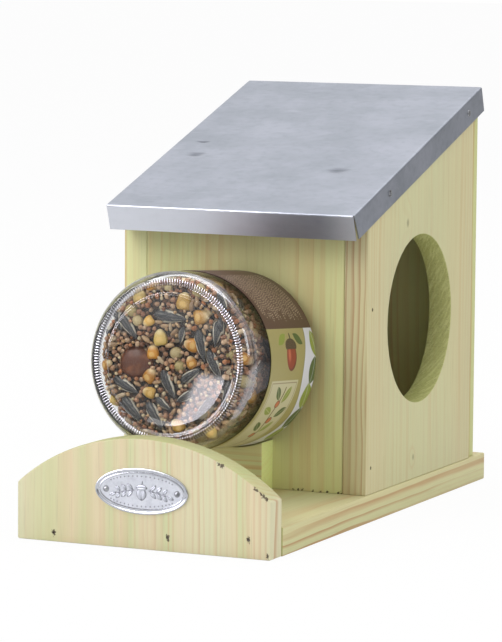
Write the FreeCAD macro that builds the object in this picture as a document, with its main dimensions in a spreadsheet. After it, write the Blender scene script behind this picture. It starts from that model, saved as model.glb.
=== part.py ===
import FreeCAD, Part
import math
import os
import Sketcher

# Squirrel feeder box: a roofed box of softwood boards on a long base board. The jar of
# feed lies in front of the box with its neck through the front panel, and a stop board
# with an arched top closes the base in front of it.
#
# Millimetres. +X is the side with the round entry hole, +Y runs from the stop board to the
# back panel and +Z is up. The origin is the middle of the underside of the base board.

document = FreeCAD.newDocument("squirrel_feeder_box")
sheet = document.addObject("Spreadsheet::Sheet", "dims")


# A length that carries its value and the formula that gives it from the sheet.
class Size:
    def __init__(self, value, text):
        self.value = value
        self.text = text

    def join(self, other, sign, value):
        right = other.text if isinstance(other, Size) else repr(float(other))
        return Size(value, "(" + self.text + " " + sign + " " + right + ")")

    def __add__(self, other):
        return self.join(other, "+", self.value + number(other))

    def __sub__(self, other):
        return self.join(other, "-", self.value - number(other))

    def __mul__(self, other):
        return self.join(other, "*", self.value * number(other))

    def __truediv__(self, other):
        return self.join(other, "/", self.value / number(other))

    def __neg__(self):
        return self * -1


def number(length):
    return length.value if isinstance(length, Size) else float(length)


def fixed(length):
    return length if isinstance(length, Size) else Size(float(length), repr(float(length)))


def sine(angle):
    return Size(math.sin(math.radians(angle.value)), "sin(" + angle.text + ")")


def cosine(angle):
    return Size(math.cos(math.radians(angle.value)), "cos(" + angle.text + ")")


def tangent(angle):
    return Size(math.tan(math.radians(angle.value)), "tan(" + angle.text + ")")


def root(length):
    return Size(math.sqrt(length.value), "sqrt(" + length.text + ")")


sheetRow = 0


def size(name, value, note):
    global sheetRow
    sheetRow += 1
    sheet.set("A" + str(sheetRow), note)
    sheet.set("B" + str(sheetRow), str(value))
    sheet.setAlias("B" + str(sheetRow), name)
    return Size(float(value), "dims." + name)


# Sizes: boards of the base
baseWidth = size("base_width", 151, "width of the base board")
baseRear = size("base_rear", 14.2, "length of the base board behind the back panel")
baseThick = size("base_thickness", 15.8, "thickness of the base board")
boardInset = size("board_inset", 0.5, "base board's edge to the box and to the stop board's end")
stopThick = size("stop_thickness", 14.7, "thickness of the stop board")
stopSide = size("stop_side_height", 31, "height of the stop board at its ends")
stopRise = size("stop_arch_rise", 28.4, "rise of the arched top over its ends")
edgeEase = size("edge_ease", 0.8, "rounding of handled board edges")

# Sizes: the box
jarBay = size("jar_bay_length", 112.3, "stop board to front panel")
sideLength = size("side_length", 157.6, "length of a side panel")
sideThick = size("side_thickness", 14.1, "thickness of a side panel")
frontThick = size("front_thickness", 14.1, "thickness of the front panel")
backThick = size("back_thickness", 10.8, "thickness of the back panel")
backInset = size("back_inset", 1.5, "side panel's face to the back panel's end")
boxFrontHeight = size("box_front_height", 179.9, "ground to the side panels' top at the front")
entryRadius = size("entry_radius", 48.1, "radius of the round entry hole")
entryBack = size("entry_back", 77.5, "front of the box to the entry hole's centre")
entryHeight = size("entry_height", 107.5, "ground to the entry hole's centre")

# Sizes: the roof sheet
roofTilt = size("roof_tilt", 18.2, "slope of the roof in degrees")
roofThick = size("roof_thickness", 0.6, "thickness of the roof sheet")
roofFit = size("roof_fit", 0.25, "gap between a side flange and the box")
roofFront = size("roof_front_overhang", 22.7, "roof's front edge ahead of the box")
roofRear = size("roof_rear_inset", 0.8, "roof's rear edge ahead of the back face")
flangeDepth = size("flange_depth", 14.8, "depth of the folded flanges")
foldRadius = size("fold_radius", 1.4, "outer radius of a fold")
slitTop = size("slit_top", 0.4, "corner slit at the fold")
slitFoot = size("slit_foot", 2.4, "corner slit at the flange's lower edge")

# Sizes: jar, label and feed
jarRadius = size("jar_radius", 48.6, "radius of the jar's body")
jarHeight = size("jar_height", 114, "base to mouth")
jarWall = size("jar_wall", 3, "thickness of the glass")
jarFloor = size("jar_floor", 4, "thickness of the glass in the base")
jarHeel = size("jar_heel", 6.5, "radius of the heel")
jarPush = size("jar_push_up", 2.2, "depth of the hollow in the base")
ringRadius = size("base_ring_radius", 34, "radius of the hollow's flat in the base")
ringSlope = size("base_ring_slope", 6.5, "width of the slope round that flat")
innerHeel = size("inner_heel", 5, "radius of the heel inside")
shoulderStart = size("shoulder_start", 87, "base to the start of the shoulder")
shoulderEnd = size("shoulder_end", 95.5, "base to the end of the shoulder")
shoulderFoot = size("shoulder_foot", 2, "hollow between shoulder and neck")
shoulderLag = size("shoulder_lag", 1, "inner shoulder ahead of the outer one")
shoulderRound = size("shoulder_round", 4, "rounding where the shoulder starts")
beadRadius = size("bead_radius", 41, "radius of the bead under the thread")
beadStart = size("bead_start", 96.5, "base to the lower edge of the bead")
beadHeight = size("bead_height", 3.5, "height of the bead")
beadBevel = size("bead_bevel", 0.7, "height of the bead's sloping edges")
neckRadius = size("neck_radius", 38.8, "radius of the neck")
jarTilt = size("jar_tilt", 4.86, "fall of the jar towards its mouth in degrees")
jarBaseGap = size("jar_base_gap", 15.4, "stop board to the middle of the jar's base")
jarBaseHeight = size("jar_base_height", 97.1, "ground to the middle of the jar's base")
labelGap = size("label_gap", 0.05, "gap between the label and the glass")
labelThick = size("label_thickness", 0.3, "thickness of the label")
labelStart = size("label_start", 26.9, "base of the jar to the label")
labelWidth = size("label_width", 59.2, "width of the label along the jar")
labelAngle = size("label_angle", 236, "degrees of the jar that the label covers")
feedGap = size("feed_gap", 0.3, "gap between the feed and the glass")
feedEnd = size("feed_end", 104, "base of the jar to the end of the feed")
bedDrop = size("bed_drop", 2.2, "depth of the small feed under the larger kernels' faces")
kernelPitch = size("kernel_pitch", 17, "distance between the larger kernels along the wall")
kernelSetBack = size("kernel_set_back", 0.5, "kernels along the wall back from its curve")
kernelLean = size("kernel_lean", 35, "lean of the kernels along the wall in degrees")
sunflowerLong = size("sunflower_half_length", 8.4, "half the length of a sunflower kernel")
sunflowerWide = size("sunflower_half_width", 3.7, "half the width of a sunflower kernel")
sunflowerThick = size("sunflower_half_thickness", 2.1, "half the thickness of a sunflower kernel")
maizeLong = size("maize_half_length", 4.8, "half the length of a maize kernel")
maizeWide = size("maize_half_width", 4.3, "half the width of a maize kernel")
maizeThick = size("maize_half_thickness", 2.4, "half the thickness of a maize kernel")
peaRadius = size("pea_radius", 3.3, "radius of a pea")
hazelnutRadius = size("hazelnut_radius", 9.6, "radius of a hazelnut")
kernelBevel = size("kernel_bevel", 40, "slope of a flat kernel's sides in degrees")
peaBevel = size("pea_bevel", 25, "slope of a pea's sides in degrees")

# Sizes: fits
restWidth = size("rest_width", 37, "width of the block under the jar")
restDepth = size("rest_depth", 15, "depth of the block under the jar")
jarFit = size("jar_fit", 0.35, "gap between the jar and the wood it rests in")
holeFit = size("neck_hole_clearance", 2, "radius of the neck hole over the bead")
nailFit = size("nail_fit", 0.05, "gap between a nail and its hole")
tipGap = size("tip_gap", 0.3, "room past the point of a nail")

# Sizes: nails and plate
bradLength = size("brad_length", 36, "length of a brad")
bradRadius = size("brad_radius", 1, "radius of a brad, which has no head")
bradPoint = size("brad_point", 2.5, "length of a brad's point")
bradSink = size("brad_sink", 0.3, "depth of a brad's end under the face")
restBradLength = size("rest_brad_length", 28, "length of the brads under the block")
cloutLength = size("clout_length", 12, "length of a roof nail")
cloutRadius = size("clout_radius", 1.1, "radius of a roof nail's shank")
cloutHead = size("clout_head_radius", 2.1, "radius of a roof nail's head")
cloutCap = size("clout_head_thickness", 0.7, "thickness of a roof nail's head")
cloutTip = size("clout_tip", 2, "length of a roof nail's point")
plateLong = size("plate_half_length", 27.5, "half length of the oval plate")
plateShort = size("plate_half_height", 12.4, "half height of the oval plate")
plateThick = size("plate_thickness", 0.6, "thickness of the plate's field")
plateRim = size("plate_rim_width", 1.5, "width of the plate's raised rim")
plateProud = size("plate_rim_height", 1.1, "height of the plate's raised rim")
plateHeight = size("plate_height", 31.3, "ground to the middle of the plate")
pinSpread = size("pin_spread", 21, "middle of the plate to a pin")
pinRadius = size("pin_radius", 0.7, "radius of a pin")
pinHead = size("pin_head_radius", 1.4, "radius of a pin's head")
pinCap = size("pin_head_height", 0.8, "height of a pin's head")
pinLength = size("pin_length", 8, "length of a pin")
pinTip = size("pin_tip", 1.5, "length of a pin's point")


# One size for each of several places of a kind.
def sizes(name, values, note):
    return [size(name + "_" + str(index + 1), value, note) for index, value in enumerate(values)]


# Sizes: where the nails go
stopNailX = sizes("stop_nail_x", [-52.8, 15.2, 62.3], "middle to a brad of the stop board")
stopNailZ = sizes("stop_nail_z", [5, 7.7, 10.2], "ground to a brad of the stop board")
frontNailZ = sizes("front_nail_z", [30.6, 119], "ground to a brad of the front panel")
backNailZ = sizes("back_nail_z", [46, 118, 190], "ground to a brad of the back panel")
floorNailFront = size("floor_nail_front", 24, "front of the box to a side panel's first floor brad")
floorNailRear = size("floor_nail_rear", 25.6, "rear of a side panel to its last floor brad")
frontFloor = size("front_floor_nail", 24, "middle to a floor brad of the front panel")
backFloor = size("back_floor_nail", 40, "middle to a floor brad of the back panel")
restNail = size("rest_nail", 9, "middle to a brad under the block")
cloutFront = size("clout_front", 51, "roof's front edge to the first nail")
cloutRear = size("clout_rear", 24.3, "roof's rear edge to the last nail")

document.recompute()

# Places that several pieces share
baseLength = jarBay + sideLength + backThick + baseRear
frontFace = -(stopThick + baseLength) / 2
stopRear = frontFace + stopThick
boxFront = stopRear + jarBay
boxRear = boxFront + sideLength
backFace = boxRear + backThick
stopWidth = baseWidth - boardInset * 2
halfBox = baseWidth / 2 - boardInset
innerHalf = halfBox - sideThick
backHalf = halfBox - backInset
fall = tangent(roofTilt)
roofLength = (backFace - roofRear - boxFront + roofFront) / cosine(roofTilt)
jarBaseY = stopRear + jarBaseGap
jarFall = tangent(jarTilt)
labelRadius = jarRadius + labelGap + labelThick


# Height of the boards' top, where the underside of the roof sheet lies, at a place in Y.
def boardTop(place):
    return boxFrontHeight + (place - boxFront) * fall


# Height of the jar's centre line at a place in Y.
def jarLine(place):
    return jarBaseHeight - (place - jarBaseY) * jarFall


def bind(item, prop, length):
    length = fixed(length)
    item.setExpression(prop, length.text)


# Puts an object at a point, with the axis and angle of its turn.
def place(item, x, y, z, axis=(0, 0, 1), angle=0.0):
    turn = FreeCAD.Rotation(FreeCAD.Vector(*axis), number(angle))
    item.Placement = FreeCAD.Placement(FreeCAD.Vector(number(x), number(y), number(z)), turn)
    bind(item, "Placement.Base.x", x)
    bind(item, "Placement.Base.y", y)
    bind(item, "Placement.Base.z", z)
    if isinstance(angle, Size):
        bind(item, "Placement.Rotation.Angle", angle)


def newBody(name):
    return document.addObject("PartDesign::Body", name)


# A sketch on a plane of the body, moved along the plane's normal.
def newSketch(body, plane, name, level=0.0):
    sketch = body.newObject("Sketcher::SketchObject", name)
    origin = next(part for part in body.Origin.OriginFeatures if part.Role == plane)
    sketch.AttachmentSupport = [(origin, "")]
    sketch.MapMode = "FlatFace"
    sketch.AttachmentOffset = FreeCAD.Placement(FreeCAD.Vector(0, 0, number(level)), FreeCAD.Rotation())
    bind(sketch, "AttachmentOffset.Base.z", level)
    return sketch


# Ties one point of a sketch to its distance from the sketch's origin.
def pin(sketch, geometry, corner, u, v):
    for kind, length in (("DistanceX", u), ("DistanceY", v)):
        index = sketch.addConstraint(Sketcher.Constraint(kind, -1, 1, geometry, corner, number(length)))
        bind(sketch, "Constraints[" + str(index) + "]", length)


# A closed outline of straight lines with every corner tied to the sheet.
def outline(sketch, corners):
    first = sketch.GeometryCount
    count = len(corners)
    for index, corner in enumerate(corners):
        after = corners[(index + 1) % count]
        start = FreeCAD.Vector(number(corner[0]), number(corner[1]), 0)
        end = FreeCAD.Vector(number(after[0]), number(after[1]), 0)
        sketch.addGeometry(Part.LineSegment(start, end))
    for index in range(count):
        after = first + (index + 1) % count
        sketch.addConstraint(Sketcher.Constraint("Coincident", first + index, 2, after, 1))
        pin(sketch, first + index, 1, corners[index][0], corners[index][1])


def box(sketch, left, right, low, high):
    outline(sketch, [(left, low), (right, low), (right, high), (left, high)])


def disc(sketch, u, v, radius):
    middle = FreeCAD.Vector(number(u), number(v), 0)
    ring = sketch.addGeometry(Part.Circle(middle, FreeCAD.Vector(0, 0, 1), number(radius)))
    pin(sketch, ring, 3, u, v)
    index = sketch.addConstraint(Sketcher.Constraint("Radius", ring, number(radius)))
    bind(sketch, "Constraints[" + str(index) + "]", radius)


def pad(body, sketch, length, name, flip=False):
    feature = body.newObject("PartDesign::Pad", name)
    feature.Profile = sketch
    feature.Reversed = flip
    feature.Length = number(length)
    bind(feature, "Length", length)
    sketch.Visibility = False
    document.recompute()
    return feature


def pocket(body, sketch, depth, name, flip=False):
    before = body.Shape.Volume
    feature = body.newObject("PartDesign::Pocket", name)
    feature.Profile = sketch
    feature.Reversed = flip
    feature.Length = number(depth)
    bind(feature, "Length", depth)
    sketch.Visibility = False
    document.recompute()
    if body.Shape.Volume >= before - 0.01:
        raise RuntimeError(name + " removes nothing")
    return feature


def turned(body, sketch, name, angle=360.0, evenly=False):
    feature = body.newObject("PartDesign::Revolution", name)
    feature.Profile = sketch
    feature.Midplane = evenly
    feature.ReferenceAxis = (sketch, ["V_Axis"])
    feature.Angle = number(angle)
    bind(feature, "Angle", angle)
    sketch.Visibility = False
    document.recompute()
    return feature


# Rounds the edges of a body for which the test is true.
def rounded(body, radius, name, test):
    last = body.Tip
    names = []
    for index, edge in enumerate(last.Shape.Edges):
        if test(edge):
            names.append("Edge" + str(index + 1))
    if not names:
        raise RuntimeError(name + " finds no edge")
    feature = body.newObject("PartDesign::Fillet", name)
    feature.Base = (last, names)
    feature.Radius = number(radius)
    bind(feature, "Radius", radius)
    document.recompute()
    return feature


# Middle of an edge, as X, Y and Z.
def middleOf(edge):
    point = edge.valueAt((edge.FirstParameter + edge.LastParameter) / 2)
    return point.x, point.y, point.z


def near(a, b):
    return abs(a - number(b)) < 0.02


# How far a cut runs past the faces it goes through
past = 1.0


# Blind round holes in a body, from a plane at a level along the plane's normal.
def drilled(body, plane, level, spots, radius, depth, name, flip=False):
    sketch = newSketch(body, plane, name + "_circles", level)
    for u, v in spots:
        disc(sketch, u, v, radius)
    pocket(body, sketch, depth, name, flip)


# Holes for brads, from a board's face.
def bradHoles(body, plane, level, spots, depth, name, flip=False):
    drilled(body, plane, level, spots, bradRadius + nailFit, depth, name, flip)


# Depth of a brad's hole in the second board, past the first one.
def bradRest(firstBoard, length=bradLength):
    return bradSink + length + tipGap - firstBoard


# Where the nails go, given as places in the whole object
stopSpots = list(zip(stopNailX, stopNailZ))
frontNailY = boxFront + frontThick / 2
sideNailX = halfBox - sideThick / 2
floorNailY = [boxFront + floorNailFront, boxRear - floorNailRear]
backNailY = boxRear + backThick / 2
restNailY = boxFront - restDepth / 2
cloutSpots = [cloutFront, roofLength - cloutRear]


# Base board with the holes for its nails
baseBoard = newBody("base_board_body")
sketch = newSketch(baseBoard, "XY_Plane", "base_outline")
box(sketch, -baseWidth / 2, baseWidth / 2, stopRear, stopRear + baseLength)
pad(baseBoard, sketch, baseThick, "base_pad")
rounded(baseBoard, edgeEase, "base_ease", lambda edge: near(abs(middleOf(edge)[0]), baseWidth / 2)
        and edge.BoundBox.YLength > number(baseLength) / 2)
floorSpots = []
for spotY in floorNailY:
    floorSpots += [(-sideNailX, spotY), (sideNailX, spotY)]
floorSpots += [(-frontFloor, frontNailY), (frontFloor, frontNailY)]
floorSpots += [(-backFloor, backNailY), (backFloor, backNailY)]
restSpots = [(-restNail, restNailY), (restNail, restNailY)]
bradHoles(baseBoard, "XY_Plane", 0.0, floorSpots + restSpots, baseThick + past, "floor_holes", True)
bradHoles(baseBoard, "XZ_Plane", -stopRear, stopSpots, bradRest(stopThick), "stop_holes")
place(baseBoard, 0, 0, 0)
baseBoard.Label = "base_board"

# Stop board: straight foot, upright ends and an arched top
stopBoard = newBody("stop_board_body")
sketch = newSketch(stopBoard, "XZ_Plane", "stop_outline")
archRadius = (stopWidth * stopWidth / 4 + stopRise * stopRise) / (stopRise * 2)
half = stopWidth / 2
corners = [(half, stopSide), (half, fixed(0)), (-half, fixed(0)), (-half, stopSide)]
for index in range(3):
    a = corners[index]
    b = corners[index + 1]
    sketch.addGeometry(Part.LineSegment(FreeCAD.Vector(number(a[0]), number(a[1]), 0),
                                        FreeCAD.Vector(number(b[0]), number(b[1]), 0)))
middle = FreeCAD.Vector(0, number(stopSide + stopRise - archRadius), 0)
reach = math.atan2(number(stopSide) - middle.y, number(half))
circle = Part.Circle(middle, FreeCAD.Vector(0, 0, 1), number(archRadius))
sketch.addGeometry(Part.ArcOfCircle(circle, reach, math.pi - reach))
for index in range(2):
    sketch.addConstraint(Sketcher.Constraint("Coincident", index, 2, index + 1, 1))
sketch.addConstraint(Sketcher.Constraint("Coincident", 2, 2, 3, 2))
sketch.addConstraint(Sketcher.Constraint("Coincident", 3, 1, 0, 1))
pin(sketch, 0, 1, *corners[0])
pin(sketch, 1, 1, *corners[1])
pin(sketch, 2, 1, *corners[2])
pin(sketch, 2, 2, *corners[3])
index = sketch.addConstraint(Sketcher.Constraint("Radius", 3, number(archRadius)))
bind(sketch, "Constraints[" + str(index) + "]", archRadius)
pad(stopBoard, sketch, stopThick, "stop_pad", True)
rounded(stopBoard, edgeEase, "stop_ease", lambda edge: isinstance(edge.Curve, Part.Circle))
bradHoles(stopBoard, "XZ_Plane", 0.0, stopSpots, stopThick + past, "stop_board_holes")
pinSpots = [(-pinSpread, plateHeight), (pinSpread, plateHeight)]
drilled(stopBoard, "XZ_Plane", 0.0, pinSpots, pinRadius + nailFit, pinLength, "pin_holes")
place(stopBoard, 0, frontFace, 0)
stopBoard.Label = "stop_board"


# A side panel: upright front and rear ends and a top that follows the roof. The sketch
# plane is the panel's outer face, and the panel lies inwards of it.
def sidePanel(name, side):
    body = newBody(name + "_body")
    inwards = side > 0
    profile = newSketch(body, "YZ_Plane", name + "_outline")
    outline(profile, [(0.0, 0.0), (sideLength, 0.0), (sideLength, boardTop(boxRear) - baseThick),
                      (0.0, boxFrontHeight - baseThick)])
    pad(body, profile, sideThick, name + "_pad", inwards)
    spots = [(frontThick / 2, z - baseThick) for z in frontNailZ]
    bradHoles(body, "YZ_Plane", 0.0, spots, sideThick + past, name + "_front_holes", not inwards)
    spots = [(-sideThick / 2 * side, y - boxFront) for y in floorNailY]
    bradHoles(body, "XY_Plane", 0.0, spots, bradRest(baseThick), name + "_floor_holes", True)
    spots = [(-sideThick / 2 * side, z - baseThick) for z in backNailZ]
    bradHoles(body, "XZ_Plane", -sideLength, spots, bradRest(backThick), name + "_back_holes", True)
    spots = []
    for along in cloutSpots:
        y, z = cloutPlace(along)
        spots.append((y - boxFront, z - baseThick))
    drilled(body, "YZ_Plane", 0.0, spots, cloutRadius + nailFit, cloutLength, name + "_roof_holes",
            not inwards)
    return body


# Middle of the side flange at a distance along the slope from the roof's front edge.
def cloutPlace(along):
    down = flangeDepth / 2
    y = boxFront - roofFront + along * cosine(roofTilt) + down * sine(roofTilt)
    z = roofTop(boxFront - roofFront) + along * sine(roofTilt) - down * cosine(roofTilt)
    return y, z


# Height of the roof sheet's upper face at a place in Y.
def roofTop(spot):
    return boardTop(spot) + roofThick / cosine(roofTilt)


leftPanel = sidePanel("left_panel", -1)
place(leftPanel, -halfBox, boxFront, baseThick)
leftPanel.Label = "left_panel"

# The right panel has the round entry hole
rightPanel = sidePanel("right_panel", 1)
sketch = newSketch(rightPanel, "YZ_Plane", "entry_circle", past)
disc(sketch, entryBack, entryHeight - baseThick, entryRadius)
pocket(rightPanel, sketch, sideThick + past * 2, "entry_hole")
place(rightPanel, halfBox, boxFront, baseThick)
rightPanel.Label = "right_panel"

# Front panel between the side panels, with the hole for the jar's neck
frontPanel = newBody("front_panel_body")
sketch = newSketch(frontPanel, "YZ_Plane", "front_profile", -innerHalf)
outline(sketch, [(0.0, 0.0), (frontThick, 0.0), (frontThick, boardTop(boxFront + frontThick) - baseThick),
                 (0.0, boxFrontHeight - baseThick)])
pad(frontPanel, sketch, innerHalf * 2, "front_pad")
neckHole = beadRadius + holeFit
neckHoleHeight = jarLine(boxFront) + beadRadius / cosine(jarTilt) + jarFit - neckHole
sketch = newSketch(frontPanel, "XZ_Plane", "neck_circle", past)
disc(sketch, 0.0, neckHoleHeight - baseThick, neckHole)
pocket(frontPanel, sketch, frontThick + past * 2, "neck_hole")
spots = [(-frontFloor, frontThick / 2), (frontFloor, frontThick / 2)]
bradHoles(frontPanel, "XY_Plane", 0.0, spots, bradRest(baseThick), "front_floor_holes", True)
spots = [(frontThick / 2, z - baseThick) for z in frontNailZ]
bradHoles(frontPanel, "YZ_Plane", innerHalf, spots, bradRest(sideThick), "front_right_holes")
bradHoles(frontPanel, "YZ_Plane", -innerHalf, spots, bradRest(sideThick), "front_left_holes", True)
place(frontPanel, 0, boxFront, baseThick)
frontPanel.Label = "front_panel"

# Back panel behind the side panels
backPanel = newBody("back_panel_body")
sketch = newSketch(backPanel, "YZ_Plane", "back_profile", -backHalf)
outline(sketch, [(0.0, 0.0), (backThick, 0.0), (backThick, boardTop(backFace) - baseThick),
                 (0.0, boardTop(boxRear) - baseThick)])
pad(backPanel, sketch, backHalf * 2, "back_pad")
spots = [(-backFloor, backThick / 2), (backFloor, backThick / 2)]
bradHoles(backPanel, "XY_Plane", 0.0, spots, bradRest(baseThick), "back_floor_holes", True)
spots = []
for z in backNailZ:
    spots += [(-sideNailX, z - baseThick), (sideNailX, z - baseThick)]
bradHoles(backPanel, "XZ_Plane", -backThick, spots, backThick + past, "back_holes", True)
place(backPanel, 0, boxRear, baseThick)
backPanel.Label = "back_panel"

# Block under the jar, its top hollowed to the jar's round. It is made too high and cut to
# the height at which the round meets its ends.
restSpare = 4.0
jarSeat = labelRadius + jarFit
restTop = jarLine(boxFront - restDepth / 2) - root(jarSeat * jarSeat - restWidth * restWidth / 4)
restBlock = newBody("rest_block")
sketch = newSketch(restBlock, "XY_Plane", "rest_outline")
box(sketch, -restWidth / 2, restWidth / 2, -restDepth, 0.0)
pad(restBlock, sketch, restTop + restSpare - baseThick, "rest_pad")
spots = [(-restNail, restDepth * -0.5), (restNail, restDepth * -0.5)]
bradHoles(restBlock, "XY_Plane", 0.0, spots, bradRest(baseThick, restBradLength), "rest_holes", True)
place(restBlock, 0, boxFront, baseThick)
seatRound = document.addObject("Part::Cylinder", "seat_round")
seatRound.Radius = number(jarSeat)
bind(seatRound, "Radius", jarSeat)
bind(seatRound, "Height", jarHeight)
place(seatRound, 0, jarBaseY, jarBaseHeight, (-1, 0, 0), jarTilt + 90)
restCut = document.addObject("Part::Cut", "rest_cut")
restCut.Base = restBlock
restCut.Tool = seatRound
restTrim = document.addObject("Part::Box", "rest_trim")
bind(restTrim, "Length", restWidth + past * 2)
bind(restTrim, "Width", restDepth + past * 2)
bind(restTrim, "Height", restSpare + past)
place(restTrim, -restWidth / 2 - past, boxFront - restDepth - past, restTop)
jarRest = document.addObject("Part::Cut", "jar_rest_cut")
jarRest.Base = restCut
jarRest.Tool = restTrim
jarRest.Label = "jar_rest"

# Roof: one sheet folded down at the front and both sides, open at the rear. Its body lies
# flat with the origin in the middle of the front edge of the upper face, and is then
# turned to the slope.
roofSheet = newBody("roof_sheet_body")
roofHalf = halfBox + roofFit + roofThick
sketch = newSketch(roofSheet, "XY_Plane", "roof_outline")
box(sketch, -roofHalf, roofHalf, 0.0, roofLength)
pad(roofSheet, sketch, flangeDepth, "roof_pad", True)
rounded(roofSheet, foldRadius, "roof_folds", lambda edge: near(middleOf(edge)[2], 0)
        and not near(middleOf(edge)[1], roofLength))
sketch = newSketch(roofSheet, "XY_Plane", "roof_inside", -flangeDepth)
box(sketch, roofThick - roofHalf, roofHalf - roofThick, roofThick, roofLength + past)
pocket(roofSheet, sketch, flangeDepth - roofThick, "roof_hollow", True)
sketch = newSketch(roofSheet, "YZ_Plane", "corner_slits", -roofHalf - past)
outline(sketch, [(roofThick, -foldRadius), (roofThick + slitTop, -foldRadius),
                 (roofThick + slitFoot, -flangeDepth - past), (roofThick, -flangeDepth - past)])
pocket(roofSheet, sketch, (roofHalf + past) * 2, "corner_cuts", True)
for side, flip in ((1, False), (-1, True)):
    sketch = newSketch(roofSheet, "YZ_Plane", "roof_nail_circles" + str(side), (roofHalf + past) * side)
    for along in cloutSpots:
        disc(sketch, along, flangeDepth / -2, cloutRadius + nailFit)
    pocket(roofSheet, sketch, roofThick + past * 2, "roof_nail_holes" + str(side), flip)
place(roofSheet, 0, boxFront - roofFront, roofTop(boxFront - roofFront), (1, 0, 0), roofTilt)
roofSheet.Label = "roof_sheet"


# Half outline of a nail in a sketch of its own, head outwards along +Z.
def nailOutline(name, corners):
    profile = document.addObject("Sketcher::SketchObject", name)
    outline(profile, corners)
    profile.Placement = FreeCAD.Placement(FreeCAD.Vector(), FreeCAD.Rotation(FreeCAD.Vector(1, 0, 0), 90))
    profile.Visibility = False
    return profile


# Turned nails of one kind, one at each spot, grouped as one piece list entry.
def nailGroup(name, profile, spots, axis, angle):
    nails = []
    for index, spot in enumerate(spots):
        nail = document.addObject("Part::Revolution", name + "_" + str(index + 1))
        nail.Source = profile
        nail.Base = FreeCAD.Vector(0, 0, 0)
        nail.Axis = FreeCAD.Vector(0, 0, 1)
        nail.Angle = 360
        nail.Solid = True
        place(nail, spot[0], spot[1], spot[2], axis, angle)
        nails.append(nail)
    group = document.addObject("Part::Compound", name + "_group")
    group.Links = nails
    group.Label = name
    return group


# Half outline of a shank with its point.
def shank(radius, length, tip):
    return [(radius, 0.0), (radius, -length + tip), (0.0, -length)]


# Half outline of a head with a bevelled edge.
def head(radius, cap):
    return [(0.0, cap), (radius - cap / 2, cap), (radius, cap / 2), (radius, 0.0)]


# Brads have no head
bradOutline = nailOutline("brad_outline", [(0.0, 0.0)] + shank(bradRadius, bradLength, bradPoint))
restBradOutline = nailOutline("rest_brad_outline",
                              [(0.0, 0.0)] + shank(bradRadius, restBradLength, bradPoint))
cloutOutline = nailOutline("clout_outline",
                           head(cloutHead, cloutCap) + shank(cloutRadius, cloutLength, cloutTip))
pinOutline = nailOutline("pin_outline", head(pinHead, pinCap) + shank(pinRadius, pinLength, pinTip))

nailGroup("stop_board_nails", bradOutline, [(x, frontFace + bradSink, z) for x, z in stopSpots],
          (1, 0, 0), 90)
nailGroup("front_panel_nails_right", bradOutline,
          [(halfBox - bradSink, frontNailY, z) for z in frontNailZ], (0, 1, 0), 90)
nailGroup("front_panel_nails_left", bradOutline,
          [(bradSink - halfBox, frontNailY, z) for z in frontNailZ], (0, -1, 0), 90)
spots = []
for z in backNailZ:
    spots += [(-sideNailX, backFace - bradSink, z), (sideNailX, backFace - bradSink, z)]
nailGroup("back_panel_nails", bradOutline, spots, (-1, 0, 0), 90)
nailGroup("floor_nails", bradOutline, [(x, y, bradSink) for x, y in floorSpots], (1, 0, 0), 180)

nailGroup("jar_rest_nails", restBradOutline, [(x, y, bradSink) for x, y in restSpots], (1, 0, 0), 180)
for side, name in ((1, "roof_nails_right"), (-1, "roof_nails_left")):
    spots = []
    for along in cloutSpots:
        y, z = cloutPlace(along)
        spots.append((roofHalf * side, y, z))
    nailGroup(name, cloutOutline, spots, (0, side, 0), 90)


# Oval plate on the stop board: a thin field inside a raised rim
def oval(name, long, short):
    ring = document.addObject("Part::Ellipse", name)
    ring.MajorRadius = number(long)
    ring.MinorRadius = number(short)
    bind(ring, "MajorRadius", long)
    bind(ring, "MinorRadius", short)
    return ring


def ovalSlab(name, long, short, low, high):
    ring = oval(name + "_oval", long, short)
    ring.Visibility = False
    slab = document.addObject("Part::Extrusion", name)
    slab.Base = ring
    slab.DirMode = "Custom"
    slab.Dir = FreeCAD.Vector(0, 0, 1)
    slab.Solid = True
    slab.LengthFwd = number(high - low)
    bind(slab, "LengthFwd", high - low)
    ring.Placement = FreeCAD.Placement(FreeCAD.Vector(0, 0, number(low)), FreeCAD.Rotation())
    bind(ring, "Placement.Base.z", low)
    return slab


plateBlank = ovalSlab("plate_blank", plateLong, plateShort, fixed(0), plateProud)
plateDish = ovalSlab("plate_dish", plateLong - plateRim, plateShort - plateRim, plateThick,
                     plateProud + past)
plateCut = document.addObject("Part::Cut", "plate_field")
plateCut.Base = plateBlank
plateCut.Tool = plateDish
plateTools = []
for side in (-1, 1):
    hole = document.addObject("Part::Cylinder", "plate_pin_hole" + str(side + 1))
    bind(hole, "Radius", pinRadius + nailFit)
    bind(hole, "Height", plateThick + past * 2)
    place(hole, pinSpread * side, 0, -past)
    plateTools.append(hole)
plateHoles = document.addObject("Part::Compound", "plate_pin_holes")
plateHoles.Links = plateTools
namePlate = document.addObject("Part::Cut", "nameplate_cut")
namePlate.Base = plateCut
namePlate.Tool = plateHoles
place(namePlate, 0, frontFace, plateHeight, (1, 0, 0), 90)
namePlate.Label = "nameplate"
pinPlaces = [(pinSpread * side, frontFace - plateThick, plateHeight) for side in (-1, 1)]
nailGroup("nameplate_pins", pinOutline, pinPlaces, (1, 0, 0), 90)


# Puts a piece of the jar on the jar's tilted centre line, its own +Z towards the mouth.
def onJar(item):
    place(item, 0, jarBaseY, jarBaseHeight, (-1, 0, 0), jarTilt + 90)


def ringEdge(radius, height):
    def test(edge):
        spot = edge.BoundBox
        return near(spot.XMax, radius) and near(spot.ZMin, height) and near(spot.ZMax, height)
    return test


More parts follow.
